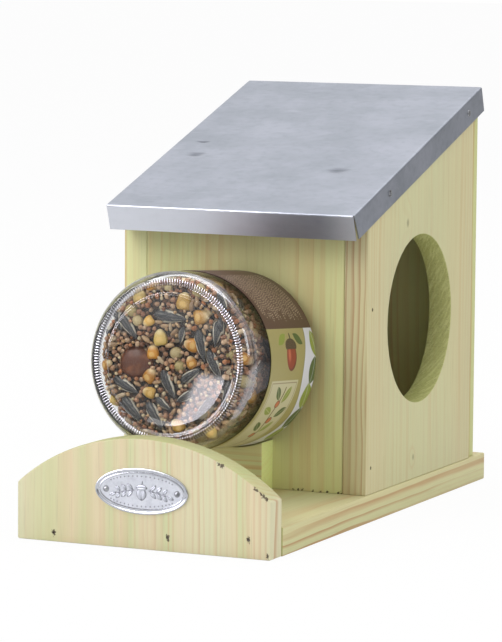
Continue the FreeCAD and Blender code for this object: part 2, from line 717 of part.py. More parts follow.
# Glass jar: heel, hollow base, straight wall, shoulder, bead and open neck
jarGlass = newBody("jar_glass_body")
sketch = newSketch(jarGlass, "XZ_Plane", "jar_profile")
innerRadius = jarRadius - jarWall
neckBore = neckRadius - jarWall
innerFloor = jarPush + jarFloor
outline(sketch, [
    (0.0, jarPush), (ringRadius, jarPush), (ringRadius + ringSlope, 0.0), (jarRadius, 0.0),
    (jarRadius, shoulderStart), (neckRadius + shoulderFoot, shoulderEnd - shoulderFoot),
    (neckRadius, shoulderEnd), (neckRadius, beadStart), (beadRadius, beadStart + beadBevel),
    (beadRadius, beadStart + beadHeight - beadBevel), (neckRadius, beadStart + beadHeight),
    (neckRadius, jarHeight), (neckBore, jarHeight), (neckBore, shoulderEnd),
    (innerRadius, shoulderStart - shoulderLag), (innerRadius, innerFloor), (0.0, innerFloor)])
turned(jarGlass, sketch, "jar_turned")
rounded(jarGlass, jarHeel, "jar_heel_round", ringEdge(jarRadius, 0.0))
rounded(jarGlass, innerHeel, "jar_inner_heel", ringEdge(innerRadius, innerFloor))
rounded(jarGlass, shoulderRound, "jar_shoulder", ringEdge(jarRadius, shoulderStart))
onJar(jarGlass)
jarGlass.Label = "jar_glass"

# Label wrapped round the straight wall
jarLabel = newBody("jar_label_body")
sketch = newSketch(jarLabel, "XZ_Plane", "label_profile")
box(sketch, jarRadius + labelGap, labelRadius, labelStart, labelStart + labelWidth)
turned(jarLabel, sketch, "label_turned", labelAngle, True)
onJar(jarLabel)
jarLabel.Label = "jar_label"

# Feed that fills the jar up to the neck: a bed of small grain, and larger kernels that rise
# out of it and lie against the glass
feedBed = newBody("feed_bed")
sketch = newSketch(feedBed, "XZ_Plane", "feed_profile")
fillRadius = innerRadius - feedGap
fillFloor = innerFloor + feedGap
fillNeck = neckBore - feedGap
bedRadius = fillRadius - bedDrop
bedFloor = fillFloor + bedDrop
outline(sketch, [(0.0, bedFloor), (bedRadius, bedFloor), (bedRadius, shoulderStart - shoulderLag - feedGap),
                 (fillNeck, shoulderEnd - feedGap), (fillNeck, feedEnd), (0.0, feedEnd)])
turned(feedBed, sketch, "feed_turned")
rounded(feedBed, innerHeel - feedGap, "feed_heel", ringEdge(bedRadius, bedFloor))

# Outline of each kind of kernel at its widest, as parts of its half length and half width
kernelOutlines = {
    "sunflower": [(1.0, 0.0), (0.3, 0.8), (-0.4, 1.0), (-0.95, 0.4)],
    "maize": [(1.0, 0.5), (0.45, 1.0), (-0.6, 0.65), (-1.0, 0.2)],
    "pea": [(1.0, 0.4), (0.4, 1.0), (-0.4, 1.0), (-1.0, 0.4)],
}
kernelSizes = {
    "sunflower": (sunflowerLong, sunflowerWide, sunflowerThick, kernelBevel),
    "maize": (maizeLong, maizeWide, maizeThick, kernelBevel),
    "pea": (peaRadius, peaRadius, peaRadius, peaBevel),
}
kernelProfiles = {}
for kind, corners in kernelOutlines.items():
    long, wide, thick, bevel = kernelSizes[kind]
    right = [(long * u, wide * v) for u, v in corners]
    left = [(long * u, -wide * v) for u, v in reversed(corners) if v > 0]
    kernelProfiles[kind] = document.addObject("Sketcher::SketchObject", kind + "_outline")
    outline(kernelProfiles[kind], right + left)
    kernelProfiles[kind].Visibility = False
kernels = []


# One kernel with bevelled sides, its length along its own +X and its thickness along +Z
def kernel(kind, x, y, z, turn):
    long, wide, thick, bevel = kernelSizes[kind]
    item = document.addObject("Part::Extrusion", kind + "_" + str(len(kernels) + 1))
    item.Base = kernelProfiles[kind]
    item.DirMode = "Custom"
    item.Dir = FreeCAD.Vector(0, 0, 1)
    item.Solid = True
    for prop, value in (("LengthFwd", thick), ("LengthRev", thick), ("TaperAngle", -bevel),
                        ("TaperAngleRev", -bevel)):
        setattr(item, prop, number(value))
        bind(item, prop, value)
    place(item, x, y, z, tuple(turn.Axis), math.degrees(turn.Angle))
    kernels.append(item)


# What shows through the jar's base: kind, place across and down as parts of the feed's
# radius, turn in degrees
baseKernels = [
    ("maize", -0.20, -0.27, 80), ("maize", 0.22, -0.21, 10),
    ("maize", -0.32, 0.19, 120), ("maize", 0.10, -0.72, 95), ("maize", 0.33, -0.55, 165),
    ("sunflower", -0.62, 0.33, 27), ("sunflower", -0.06, 0.29, 63), ("sunflower", 0.23, 0.15, -35),
    ("sunflower", -0.62, -0.38, 51), ("sunflower", -0.07, -0.53, 5), ("sunflower", 0.54, 0.02, 62),
    ("sunflower", -0.22, 0.67, 55), ("sunflower", -0.53, 0.60, 46), ("sunflower", 0.56, -0.38, 100),
    ("sunflower", 0.70, 0.36, 97), ("maize", 0.09, 0.76, 30), ("sunflower", 0.42, 0.55, 130),
    ("pea", 0.01, -0.10, 0), ("pea", 0.07, 0.05, 0), ("pea", 0.75, -0.12, 0)]
for kind, across, down, turn in baseKernels:
    kernel(kind, fillRadius * across, fillRadius * down, fillFloor + kernelSizes[kind][2],
           FreeCAD.Rotation(turn, 0, 0))
hazelnut = document.addObject("Part::Sphere", "hazelnut")
bind(hazelnut, "Radius", hazelnutRadius)
place(hazelnut, fillRadius * -0.53, fillRadius * 0.04, fillFloor + hazelnutRadius)
kernels.append(hazelnut)

# Rows along the wall: the first goes all round, and the others show beside the label
rowStart = fillFloor + innerHeel + sunflowerLong
rowCount = int((shoulderStart - sunflowerLong - rowStart).value / kernelPitch.value) + 1
ringCount = int(2 * math.pi * fillRadius.value / kernelPitch.value)
wallKinds = ["sunflower", "maize", "sunflower", "pea"]
for row in range(rowCount):
    for step in range(ringCount):
        angle = 360 * (step + row % 2 / 2) / ringCount - 180
        if row > 0 and abs(angle) < labelAngle.value / 2:
            continue
        kind = wallKinds[(step + row) % len(wallKinds)]
        reach = fillRadius - kernelSizes[kind][2] - kernelSetBack
        lean = kernelLean.value * (-1) ** step
        turn = FreeCAD.Rotation(angle, 90, 0) * FreeCAD.Rotation(lean, 0, 0)
        kernel(kind, reach * math.cos(math.radians(angle)), reach * math.sin(math.radians(angle)),
               rowStart + kernelPitch * row, turn)

feed = document.addObject("Part::MultiFuse", "feed_fused")
feed.Shapes = [feedBed] + kernels
onJar(feed)
feed.Label = "seed_mix"

document.recompute()

# Checks every object and writes one file for each named piece
pieces = ["base_board", "stop_board", "jar_rest", "left_panel", "right_panel", "front_panel", "back_panel",
          "roof_sheet", "nameplate", "nameplate_pins", "stop_board_nails", "jar_rest_nails",
          "front_panel_nails_left", "front_panel_nails_right", "back_panel_nails", "floor_nails",
          "roof_nails_left", "roof_nails_right", "jar_glass", "jar_label", "seed_mix"]
for item in document.Objects:
    if "Invalid" in item.State or "Error" in item.State:
        raise RuntimeError(item.Name + " is not valid")
os.makedirs("parts", exist_ok=True)
for name in pieces:
    found = document.getObjectsByLabel(name)
    if len(found) != 1:
        raise RuntimeError(name + " is missing or double")
    shape = found[0].Shape
    if shape.isNull() or not shape.isValid():
        raise RuntimeError(name + " has no valid shape")
    shape.exportStep("parts/" + name + ".step")
    limits = shape.BoundBox
    print(name, len(shape.Solids), "solids", round(shape.Volume), "mm3",
          [round(v, 1) for v in (limits.XMin, limits.XMax, limits.YMin, limits.YMax, limits.ZMin,
                                 limits.ZMax)])
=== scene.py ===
import bmesh
import bpy
import math
import random
from mathutils import Matrix, Vector, noise


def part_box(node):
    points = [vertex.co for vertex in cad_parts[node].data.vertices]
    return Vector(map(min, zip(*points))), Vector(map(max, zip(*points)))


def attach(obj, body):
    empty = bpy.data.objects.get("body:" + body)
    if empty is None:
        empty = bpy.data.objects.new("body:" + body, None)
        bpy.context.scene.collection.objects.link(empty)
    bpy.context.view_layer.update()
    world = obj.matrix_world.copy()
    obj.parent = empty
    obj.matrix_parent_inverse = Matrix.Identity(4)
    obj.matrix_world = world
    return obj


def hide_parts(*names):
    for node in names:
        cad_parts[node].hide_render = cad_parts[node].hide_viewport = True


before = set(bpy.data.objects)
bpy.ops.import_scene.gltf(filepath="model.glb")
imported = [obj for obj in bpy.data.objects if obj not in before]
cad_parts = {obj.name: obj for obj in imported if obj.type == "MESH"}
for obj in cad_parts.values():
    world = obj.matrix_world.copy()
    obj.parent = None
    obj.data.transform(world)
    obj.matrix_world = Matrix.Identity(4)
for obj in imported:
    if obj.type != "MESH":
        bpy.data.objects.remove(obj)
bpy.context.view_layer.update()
print("frame loaded")

mm = 0.001


# Shader maths as plain expressions: a wrapped socket that adds Math nodes
class Value:
    def __init__(self, finish, socket):
        self.finish = finish
        self.socket = socket

    def join(self, operation, *values):
        return self.finish.node("ShaderNodeMath", {"operation": operation}, dict(enumerate(values)))

    def __add__(self, other):
        return self.join("ADD", self, other)

    def __radd__(self, other):
        return self.join("ADD", other, self)

    def __sub__(self, other):
        return self.join("SUBTRACT", self, other)

    def __rsub__(self, other):
        return self.join("SUBTRACT", other, self)

    def __mul__(self, other):
        return self.join("MULTIPLY", self, other)

    def __rmul__(self, other):
        return self.join("MULTIPLY", other, self)

    def __truediv__(self, other):
        return self.join("DIVIDE", self, other)

    def __pow__(self, other):
        return self.join("POWER", self, other)

    def root(self):
        return self.join("SQRT", self)

    def size(self):
        return self.join("ABSOLUTE", self)

    def fraction(self):
        return self.join("FRACT", self)

    def sine(self):
        return self.join("SINE", self)

    # Angle of a point whose height is this value and whose side is the other
    def turn(self, other):
        return self.join("ARCTAN2", self, other)

    def least(self, other):
        return self.join("MINIMUM", self, other)

    def most(self, other):
        return self.join("MAXIMUM", self, other)

    # 0 at low, 1 at high and smooth between; low may be the larger
    def step(self, low, high):
        settings = {"interpolation_type": "SMOOTHSTEP"}
        values = {"Value": self, "From Min": low, "From Max": high, "To Min": 0.0, "To Max": 1.0}
        return self.finish.node("ShaderNodeMapRange", settings, values)


# A material with one Principled shader, or the world's nodes, and short ways to add nodes
class Finish:
    def __init__(self, name, tree=None, slot=None, **sockets):
        self.tree = tree
        self.slot = slot
        if tree:
            return
        self.material = bpy.data.materials.new(name)
        self.material.use_nodes = True
        self.tree = self.material.node_tree
        self.shader = self.tree.nodes["Principled BSDF"]
        for key, value in sockets.items():
            self.shader.inputs[key.replace("_", " ")].default_value = value

    # Any node: its type, its settings, its socket values or links, and which output is wanted
    def node(self, kind, settings=None, values=None, output=0):
        made = self.tree.nodes.new(kind)
        for key, setting in (settings or {}).items():
            if key == "stops":
                while len(made.color_ramp.elements) < len(setting):
                    made.color_ramp.elements.new(0.5)
                for element, (place, colour) in zip(made.color_ramp.elements, setting):
                    element.position = place
                    element.color = (*colour, 1.0)
            else:
                setattr(made, key, setting)
        for key, value in (values or {}).items():
            socket = made.inputs[key]
            if isinstance(value, Value):
                self.tree.links.new(value.socket, socket)
            elif isinstance(value, tuple) and len(value) == 3 and socket.type == "RGBA":
                socket.default_value = (*value, 1.0)
            else:
                socket.default_value = value
        return Value(self, made.outputs[output])

    def place(self):
        return self.node("ShaderNodeTexCoord", output="Object")

    def split(self, vector):
        parts = self.node("ShaderNodeSeparateXYZ", values={0: vector})
        outputs = parts.socket.node.outputs
        return [Value(self, outputs[index]) for index in range(3)]

    def vector(self, x, y, z):
        return self.node("ShaderNodeCombineXYZ", values={0: x, 1: y, 2: z})

    # Noise from 0 to 1, about 0.5 on average
    def noise(self, x, y, z, detail=2.0, roughness=0.5):
        values = {"Vector": self.vector(x, y, z), "Scale": 1.0, "Detail": detail, "Roughness": roughness}
        return self.node("ShaderNodeTexNoise", None, values)

    def mix(self, factor, a, b):
        return self.node("ShaderNodeMix", {"data_type": "RGBA"}, {0: factor, 6: a, 7: b}, 2)

    # Colours of a ramp by a value from 0 to 1
    def ramp(self, factor, *stops):
        return self.node("ShaderNodeValToRGB", {"stops": stops}, {0: factor})

    def attribute(self, name, output="Color"):
        return self.node("ShaderNodeAttribute", {"attribute_name": name}, output=output)

    def feed(self, name, value):
        self.tree.links.new(value.socket, self.shader.inputs[name])

    def bump(self, height, strength, distance):
        values = {"Height": height, "Strength": strength, "Distance": distance}
        self.feed("Normal", self.node("ShaderNodeBump", None, values))


# Colour from sRGB numbers, as a paint chart gives them
def paint(colour, shade=(1.0, 1.0, 1.0)):
    return tuple(((part / 255 + 0.055) / 1.055) ** 2.4 * much for part, much in zip(colour, shade))


# The stronger of two masks, where the first may still be missing
def stronger(mask, other):
    return other if mask is None else mask.most(other)


# Camera where the photograph was taken from, in the frame of the whole object
cameraSettings = {
    "place": (0.82284, -1.80566, 0.33196),
    "turn": 24.72,           # degrees round the object, to its right
    "tip": 6.48,             # degrees down
    "roll": 0.45,
    "lens": 197.5,           # millimetres, on a sensor this wide:
    "sensor": 36.0,
    "reach": 50.0,           # metres
}


def makeCamera(settings):
    camera = bpy.data.cameras.new("camera")
    camera.sensor_width = settings["sensor"]
    camera.lens = settings["lens"]
    camera.clip_end = settings["reach"]
    holder = bpy.data.objects.new("camera", camera)
    bpy.context.scene.collection.objects.link(holder)
    turn = Matrix.Rotation(math.radians(settings["turn"]), 4, "Z")
    tip = Matrix.Rotation(math.radians(90 - settings["tip"]), 4, "X")
    roll = Matrix.Rotation(math.radians(settings["roll"]), 4, "Z")
    holder.matrix_world = Matrix.Translation(settings["place"]) @ turn @ tip @ roll
    bpy.context.scene.camera = holder


# Soft studio: a white surround, a large key on the front left, and weak lamps above and on the
# right. Metal and glass see white above and behind on the left, a dim room on the other sides,
# and a window on the front left, whose right side runs up to the left.
studio = {
    "surround": 0.66,
    "room": 0.12,
    "bright": (-0.2, 0.7),   # where white starts and is full, as a direction turns to the left rear
    "window": {"low": 0.08, "high": 0.6, "side": -130.0, "width": 0.5, "slant": 20.0, "strength": 9.0,
               "tint": (0.96, 0.92, 1.0)},
    "lamps": {
        "key": {"place": (-1.25, -1.8, 1.8), "size": (1.5, 1.5), "power": 22.0},
        "above": {"place": (0.2, 0.3, 2.2), "size": (1.6, 1.6), "power": 17.0},
        "right": {"place": (2.0, -0.7, 0.9), "size": (1.0, 1.0), "power": 6.0},
    },
    "target": (0.0, 0.0, 0.1),
    "floor": 0.86,
    "floorGlow": 0.94,
    "floorSize": 12.0,
    "floorFade": (1.5, 0.4),         # metres from the object where mirrors see it dim, and white
}


# Masks of the rays that see plain white, and of those that a mirror sends out
def seen(finish):
    rays = [finish.node("ShaderNodeLightPath", output=kind)
            for kind in ("Is Camera Ray", "Is Glossy Ray", "Is Transmission Ray")]
    return rays[0].most(rays[2]), rays[1]


# How far a direction points to the left rear
def leftRear(x, y):
    return y * 0.6 - x * 0.8


def makeWorld(settings):
    world = bpy.data.worlds.new("surround")
    bpy.context.scene.world = world
    world.use_nodes = True
    finish = Finish(None, world.node_tree)
    clear, glossy = seen(finish)
    x, y, z = finish.split(finish.node("ShaderNodeTexCoord", output="Generated"))
    room, window = settings["room"], settings["window"]
    above = z.step(0.0, 0.55) * (1 - x.step(0.1, 0.7) * 0.55)
    white = above.most(leftRear(x, y).step(*settings["bright"]))
    side = y.turn(x) - z * math.radians(window["slant"])
    near = math.radians(window["side"])
    far = near - window["width"]
    low, high = window["low"], window["high"]
    shine = side.step(near + 0.04, near - 0.04) * side.step(far, far + 0.05)
    shine = shine * z.step(low - 0.03, low + 0.03) * z.step(high, high - 0.1)
    sky = white * (1 - room) + room + shine * window["strength"]
    strength = clear + (1 - clear) * (glossy * sky + (1 - glossy) * settings["surround"])
    tint = finish.mix(shine, (1.0, 1.0, 1.0), window["tint"])
    back = finish.node("ShaderNodeBackground", None, {"Color": tint, "Strength": strength})
    finish.tree.links.new(back.socket, finish.tree.nodes["World Output"].inputs["Surface"])


def makeLamps(settings):
    for name, lamp in settings["lamps"].items():
        light = bpy.data.lights.new(name, "AREA")
        light.shape = "RECTANGLE"
        light.size, light.size_y = lamp["size"]
        light.energy = lamp["power"]
        holder = bpy.data.objects.new(name, light)
        bpy.context.scene.collection.objects.link(holder)
        aim = Vector(settings["target"]) - Vector(lamp["place"])
        turn = aim.to_track_quat("-Z", "Y").to_matrix().to_4x4()
        holder.matrix_world = Matrix.Translation(lamp["place"]) @ turn


# The floor glows white for the camera. Mirrors see it white near the object and to the left rear,
# and dim elsewhere.
def makeFloor(settings):
    bm = bmesh.new()
    bmesh.ops.create_grid(bm, x_segments=1, y_segments=1, size=settings["floorSize"])
    floor = addPiece("floor", bm, None, None)
    shade = settings["floor"]
    finish = Finish("floorWhite", Roughness=0.9, Base_Color=(shade, shade, shade, 1.0))
    clear, glossy = seen(finish)
    x, y = finish.split(finish.place())[:2]
    far = (x ** 2 + y ** 2).root()
    white = far.step(*settings["floorFade"]).most((leftRear(x, y) / far).step(*settings["bright"]))
    strength = (1 - glossy) + glossy * (white * (0.95 - settings["room"]) + settings["room"])
    glow = finish.node("ShaderNodeEmission", None, {"Color": (1.0, 1.0, 1.0), "Strength": strength})
    factor = (clear * settings["floorGlow"]).most(glossy)
    surface = finish.node("ShaderNodeMixShader", None, {0: factor})
    mixer = surface.socket.node
    finish.tree.links.new(finish.shader.outputs[0], mixer.inputs[1])
    finish.tree.links.new(glow.socket, mixer.inputs[2])
    finish.tree.links.new(surface.socket, finish.tree.nodes["Material Output"].inputs["Surface"])
    floor.data.materials.append(finish.material)


# Turns a bmesh into an object that rides on a body of the frame
def addPiece(name, bm, finish, body, replaces=(), smooth=None):
    mesh = bpy.data.meshes.new(name)
    bm.to_mesh(mesh)
    bm.free()
    piece = bpy.data.objects.new(name, mesh)
    bpy.context.scene.collection.objects.link(piece)
    if finish:
        mesh.materials.append(finish.material)
    if smooth is not None:
        mesh.shade_smooth()
        if smooth < 180:
            mesh.set_sharp_from_angle(angle=math.radians(smooth))
    if body:
        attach(piece, body)
    if replaces:
        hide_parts(*replaces)
    return piece


# Pine boards. Growth rings run round a pith that lies outside the board, so faces, edges and
# end grain all follow from one pattern.
pine = {
    "pale": (210, 206, 168),        # early wood
    "late": (202, 166, 126),        # late wood
    "deep": (158, 108, 74),         # late wood on narrow edges
    "pink": (220, 196, 160),        # broad warm bands
    "green": (190, 196, 136),       # broad bands of the green treatment
    "end": (166, 170, 104),         # end grain takes more of the treatment
    "litEnd": (238, 242, 176),       # painted light: end grain made lighter where it catches the light
    "dark": (96, 78, 46),
    # knots, tears and stains, and painted shade where a panel shows through the roof's slit
    "markAndShade": (58, 40, 22),
    "wall": (190, 192, 118),        # wall of a sawn hole
    "stroke": (226, 226, 164),      # strokes of the saw on it
}
tintSpan = 153.0                    # millimetres that the bands of tints are spread over


# grain is the axis along the board, wide the other axis of its face, and pith the place of the
# pith across the grain. spacing is the width of a year. late, pink, green and ends say how strong
# late wood, warm bands, green bands and end grain are. knots and marks are (place on wide, place
# along the grain, radius), and marks stay near a face of the third axis; marks are tears and stains,
# and also painted shade where a panel shows through the roof's slit. tints are (place on wide in
# millimetres, tone). Rings grow stronger over the stretch called stripes, and joint is half the
# width of a board whose long edges meet others; painted shadow and dirt darken those edges.
# shade scales all of the board's colours, and with it light and shade are painted on some boards.
def pineFinish(name, grain, wide, pith, spacing, late=0.5, pink=0.5, green=0.5, bands=16.0,
               edge=0.3, knots=(), marks=(), face=0.0, sawn=None, shade=(1.0, 1.0, 1.0), ends=0.6,
               endTone="end", stripes=None, tints=(), joint=None, slot="treated_pine"):
    finish = Finish(name, slot=slot)
    place = finish.split(finish.place())
    axes = dict(zip("xyz", place))
    along, across = axes[grain], axes[wide]
    third = [axes[key] for key in "xyz" if key not in (grain, wide)][0]
    u, v = [axes[key] for key in "xyz" if key != grain]
    swell = finish.noise(u * 9, v * 9, along * 2.6)
    bow = finish.noise(u * 55, v * 55, along * 9)
    wander = finish.noise(u * 130, v * 130, along * 26, 1.0)
    push = (swell - 0.5) * 0.011 + (bow - 0.5) * 0.0022 + (wander - 0.5) * 0.0012
    spots = None
    for side, height, reach in knots:                # rings bend round a knot
        far = ((across - side) ** 2 + ((along - height) * 0.7) ** 2).root()
        push = push + far.step(reach * 5, 0.0) * reach * 1.5
        spots = stronger(spots, far.step(reach, reach * 0.2) * 0.45)
    ragged = (finish.noise(*[axis * 1100 for axis in place], 1.0) - 0.5) * 0.0026
    for side, height, reach in marks:
        far = ((across - side) ** 2 + ((along - height) * 0.7) ** 2 + (third - face) ** 2).root() + ragged
        spots = stronger(spots, far.step(reach, reach * 0.5) * 0.9)
    radius = ((u - pith[0]) ** 2 + (v - pith[1]) ** 2).root() + push
    year = radius / spacing
    uneven = finish.noise(year * 0.8, 3.1, 0.7, 0.0)
    saw = (year + (uneven - 0.5) * 1.3).fraction()   # slow into the late wood, then back at once
    ring = saw.step(0.42, 0.90) * saw.step(1.0, 0.94)
    strength = finish.noise(radius * 170, along * 3.5, 1.7).step(0.36, 0.66)
    broad = finish.noise(radius * bands * 4, along * 1.6, 5.2, 1.0)
    broader = finish.noise(radius * bands * 2.2, along * 2.2, 9.4, 1.0)
    fibre = finish.noise(u * 1500, v * 1500, along * 30, 3.0, 0.6)
    streak = finish.noise(u * 420, v * 420, along * 6, 2.0, 0.55)
    tones = {key: paint(colour, shade) for key, colour in pine.items()}
    colour = finish.mix(broad.step(0.52, 0.66) * pink, tones["pale"], tones["pink"])
    colour = finish.mix(broader.step(0.50, 0.68) * green, colour, tones["green"])
    if tints:
        shift = (across + (swell - 0.5) * 0.05 + (bow - 0.5) * 0.012) / (tintSpan * mm) + 0.5
        bandTone = finish.ramp(shift, *[(spot / tintSpan + 0.5, tones[key]) for spot, key in tints])
        colour = finish.mix(0.45, colour, bandTone)
    facing = dict(zip("xyz", finish.split(finish.node("ShaderNodeNewGeometry", output="Normal"))))
    cut = facing[grain].size().step(0.55, 0.9)       # 1 on end grain
    narrow = facing[wide].size().step(0.5, 0.9)      # 1 on the board's narrow edges
    depth = (narrow * edge + late).least(1.0)
    lateTone = finish.mix(narrow * edge, tones["late"], tones["deep"])
    if stripes:
        grown = across.step(*stripes)
        strength = strength * grown + grown * 0.3
    colour = finish.mix(ring * (strength * 0.8 + 0.2) * depth, colour, lateTone)
    colour = finish.mix(streak.step(0.45, 0.75) * 0.18, colour, tones["late"])
    colour = finish.mix(cut * ends, colour, tones[endTone])
    if joint:
        # Painted shadow and dirt along the long edges where the board meets others
        shadow = across.size().step(joint - 0.0011, joint - 0.0002)
        colour = finish.mix(shadow * 0.25, colour, tones["dark"])
    colour = finish.mix(fibre.step(0.52, 0.80) * 0.16, colour, tones["dark"])
    rough = finish.noise(*[axis * 900 for axis in place], 3.0)
    relief = fibre * 0.7 + ring * 0.25 + rough * cut * 1.5
    if sawn:
        colour, relief = sawnWall(finish, sawn, across, along, third, tones, colour, relief)
    # knots, tears and stains, and painted shade from the roof's slit, take the dark mark tone
    if spots is not None:
        colour = finish.mix(spots, colour, paint(pine["markAndShade"]))
        relief = relief - spots * 1.5
    finish.feed("Base Color", colour)
    finish.feed("Roughness", 0.58 + fibre * 0.14)
    finish.bump(relief, 0.55, 0.00022)
    return finish


# Wall of a sawn hole, with strokes of the saw and torn fibres. depth is the way into the board.
def sawnWall(finish, hole, across, along, depth, tones, colour, relief):
    side, height, reach = hole
    far = ((across - side) ** 2 + (along - height) ** 2).root()
    wall = far.step(reach + 0.00025, reach + 0.00005)
    turn = (along - height).turn(across - side)
    winding, slanted = turn * reach + depth, turn * reach - depth * 1.8
    strokes = finish.noise(slanted * 480, winding * 90, 2.5, 3.0, 0.65)
    fuzz = finish.noise(turn * 90, depth * 700, 4.5, 3.0, 0.7)
    colour = finish.mix(wall * 0.8, colour, tones["wall"])
    colour = finish.mix(wall * strokes.step(0.42, 0.66) * 0.6, colour, tones["stroke"])
    colour = finish.mix(wall * fuzz.step(0.52, 0.74) * 0.45, colour, tones["dark"])
    return colour, relief + wall * (strokes * 3.0 + fuzz * 2.4)


# Prism of an outline with round holes: outline as (u, v) in metres and holes as (u, v, radius),
# all through. toObject takes u, v and depth to the object's axes. lean tilts a top edge: every
# point above its height rises by the slope times its depth.
def prism(outline, holes, depth, toObject, ease=0.0006, lean=None):
    bm = bmesh.new()
    corners = [bm.verts.new((u, v, 0)) for u, v in outline]
    for index, corner in enumerate(corners):
        bm.edges.new((corner, corners[(index + 1) % len(corners)]))
    for u, v, radius in holes:
        sides = 144 if radius > 20 * mm else 16
        bmesh.ops.create_circle(bm, segments=sides, radius=radius, matrix=Matrix.Translation((u, v, 0)))
    filled = bmesh.ops.triangle_fill(bm, use_beauty=True, use_dissolve=False, edges=bm.edges[:])
    faces = [item for item in filled["geom"] if isinstance(item, bmesh.types.BMFace)]
    grown = bmesh.ops.extrude_face_region(bm, geom=faces)
    far = [item for item in grown["geom"] if isinstance(item, bmesh.types.BMVert)]
    bmesh.ops.translate(bm, verts=far, vec=(0, 0, depth))
    bmesh.ops.recalc_face_normals(bm, faces=bm.faces)
    small = [(u, v, radius * 1.3) for u, v, radius in holes if radius < 5 * mm]

    def eased(edge):
        if not edge.is_manifold or edge.calc_face_angle() < math.radians(25):
            return False
        middle = (edge.verts[0].co + edge.verts[1].co) / 2
        return all(math.hypot(middle.x - u, middle.y - v) > reach for u, v, reach in small)

    sharp = [edge for edge in bm.edges if eased(edge)]
    bmesh.ops.bevel(bm, geom=sharp, offset=ease, offset_type="OFFSET", segments=2, profile=0.5,
                    affect="EDGES", clamp_overlap=True, material=-1)
    if lean:
        height, rise = lean
        for vert in bm.verts:
            if vert.co.y > height:
                vert.co.y += vert.co.z * rise
    bmesh.ops.transform(bm, matrix=toObject, verts=bm.verts)
    bmesh.ops.recalc_face_normals(bm, faces=bm.faces)
    return bm


# Matrices from an outline's u, v and depth to the object's axes
def onXY(z):
    return Matrix(((1, 0, 0, 0), (0, 1, 0, 0), (0, 0, 1, z), (0, 0, 0, 1)))


def onXZ(y):
    return Matrix(((1, 0, 0, 0), (0, 0, 1, y), (0, 1, 0, 0), (0, 0, 0, 1)))


def onYZ(x):
    return Matrix(((0, 0, 1, x), (1, 0, 0, 0), (0, 1, 0, 0), (0, 0, 0, 1)))


# Points on an arc about a centre, between two angles in degrees
def arc(centreU, centreV, radius, start, end, steps):
    turns = [math.radians(start + (end - start) * index / steps) for index in range(steps + 1)]
    return [(centreU + radius * math.cos(turn), centreV + radius * math.sin(turn)) for turn in turns]


# Sizes of the boards and places of their nails, in millimetres. Tears are (x, z, radius).
sideMiddle = 67.95                           # middle of a side panel's thickness
frontMiddle = -20.75                         # and of the front panel's
boards = {
    "slope": 18.2,                           # degrees, of the roof
    "bradHole": 1.05,
    "stopSide": 31.0,
    "stopRise": 28.4,
    "stopBrads": ((-52.8, 5.0), (15.2, 7.7), (62.3, 10.2)),                      # x, z
    "stopTears": ((46.8, 48.4, 1.3), (44.9, 49.2, 0.9), (65.8, 38.2, 0.9), (67.2, 37.2, 1.2),
                  (69.4, 35.6, 1.1), (70.8, 34.4, 1.3), (72.6, 32.8, 1.3), (73.3, 2.4, 1.2)),
    "stopTints": ((-72, "pale"), (-61, "green"), (-52, "pink"), (-44, "green"), (-35, "pink"),
                  (-29, "pink"), (-23, "green"), (-17, "pink"), (-12, "green"), (-6, "pink"),
                  (2, "pink"), (11, "green"), (18, "pink"), (38, "pale"), (54, "pink"),
                  (60, "green"), (67, "pink"), (76, "pale")),
    "entryHole": (49.7, 107.5, 48.1),        # y, z, radius
    "slitShade": {"drops": (1.0, 4.5, 8.0), "reach": 6.5, "inset": 4.0},          # painted shade on the right panel, where it shows through the roof's slit
    "neckHole": (87.355, 43.0),              # z, radius
    "frontTears": ((31.0, 0.3, 0.8), (34.5, 0.2, 0.7), (36.5, 0.4, 1.0), (43.0, 0.2, 0.7),
                   (47.5, 0.3, 0.9), (52.0, 0.2, 0.8), (58.5, 0.3, 0.9), (60.5, 0.2, 0.8),
                   (68.0, 0.3, 0.8)),        # z from the board's lower end
    "frontBrads": (30.6, 119.0),
    "floorBrads": ((sideMiddle, -3.8), (sideMiddle, 104.2), (24.0, frontMiddle), (40.0, 135.2),
                   (9.0, -35.3)),
    "backBrads": (46.0, 118.0, 190.0),
    "seat": 49.3,                            # radius of the hollow in the block under the jar
    "panelKnots": ((29.4, 163.4, 2.4), (41.6, 28.4, 1.8)),                       # y, z, radius
}
slope = math.tan(math.radians(boards["slope"]))
bradHole = boards["bradHole"] * mm

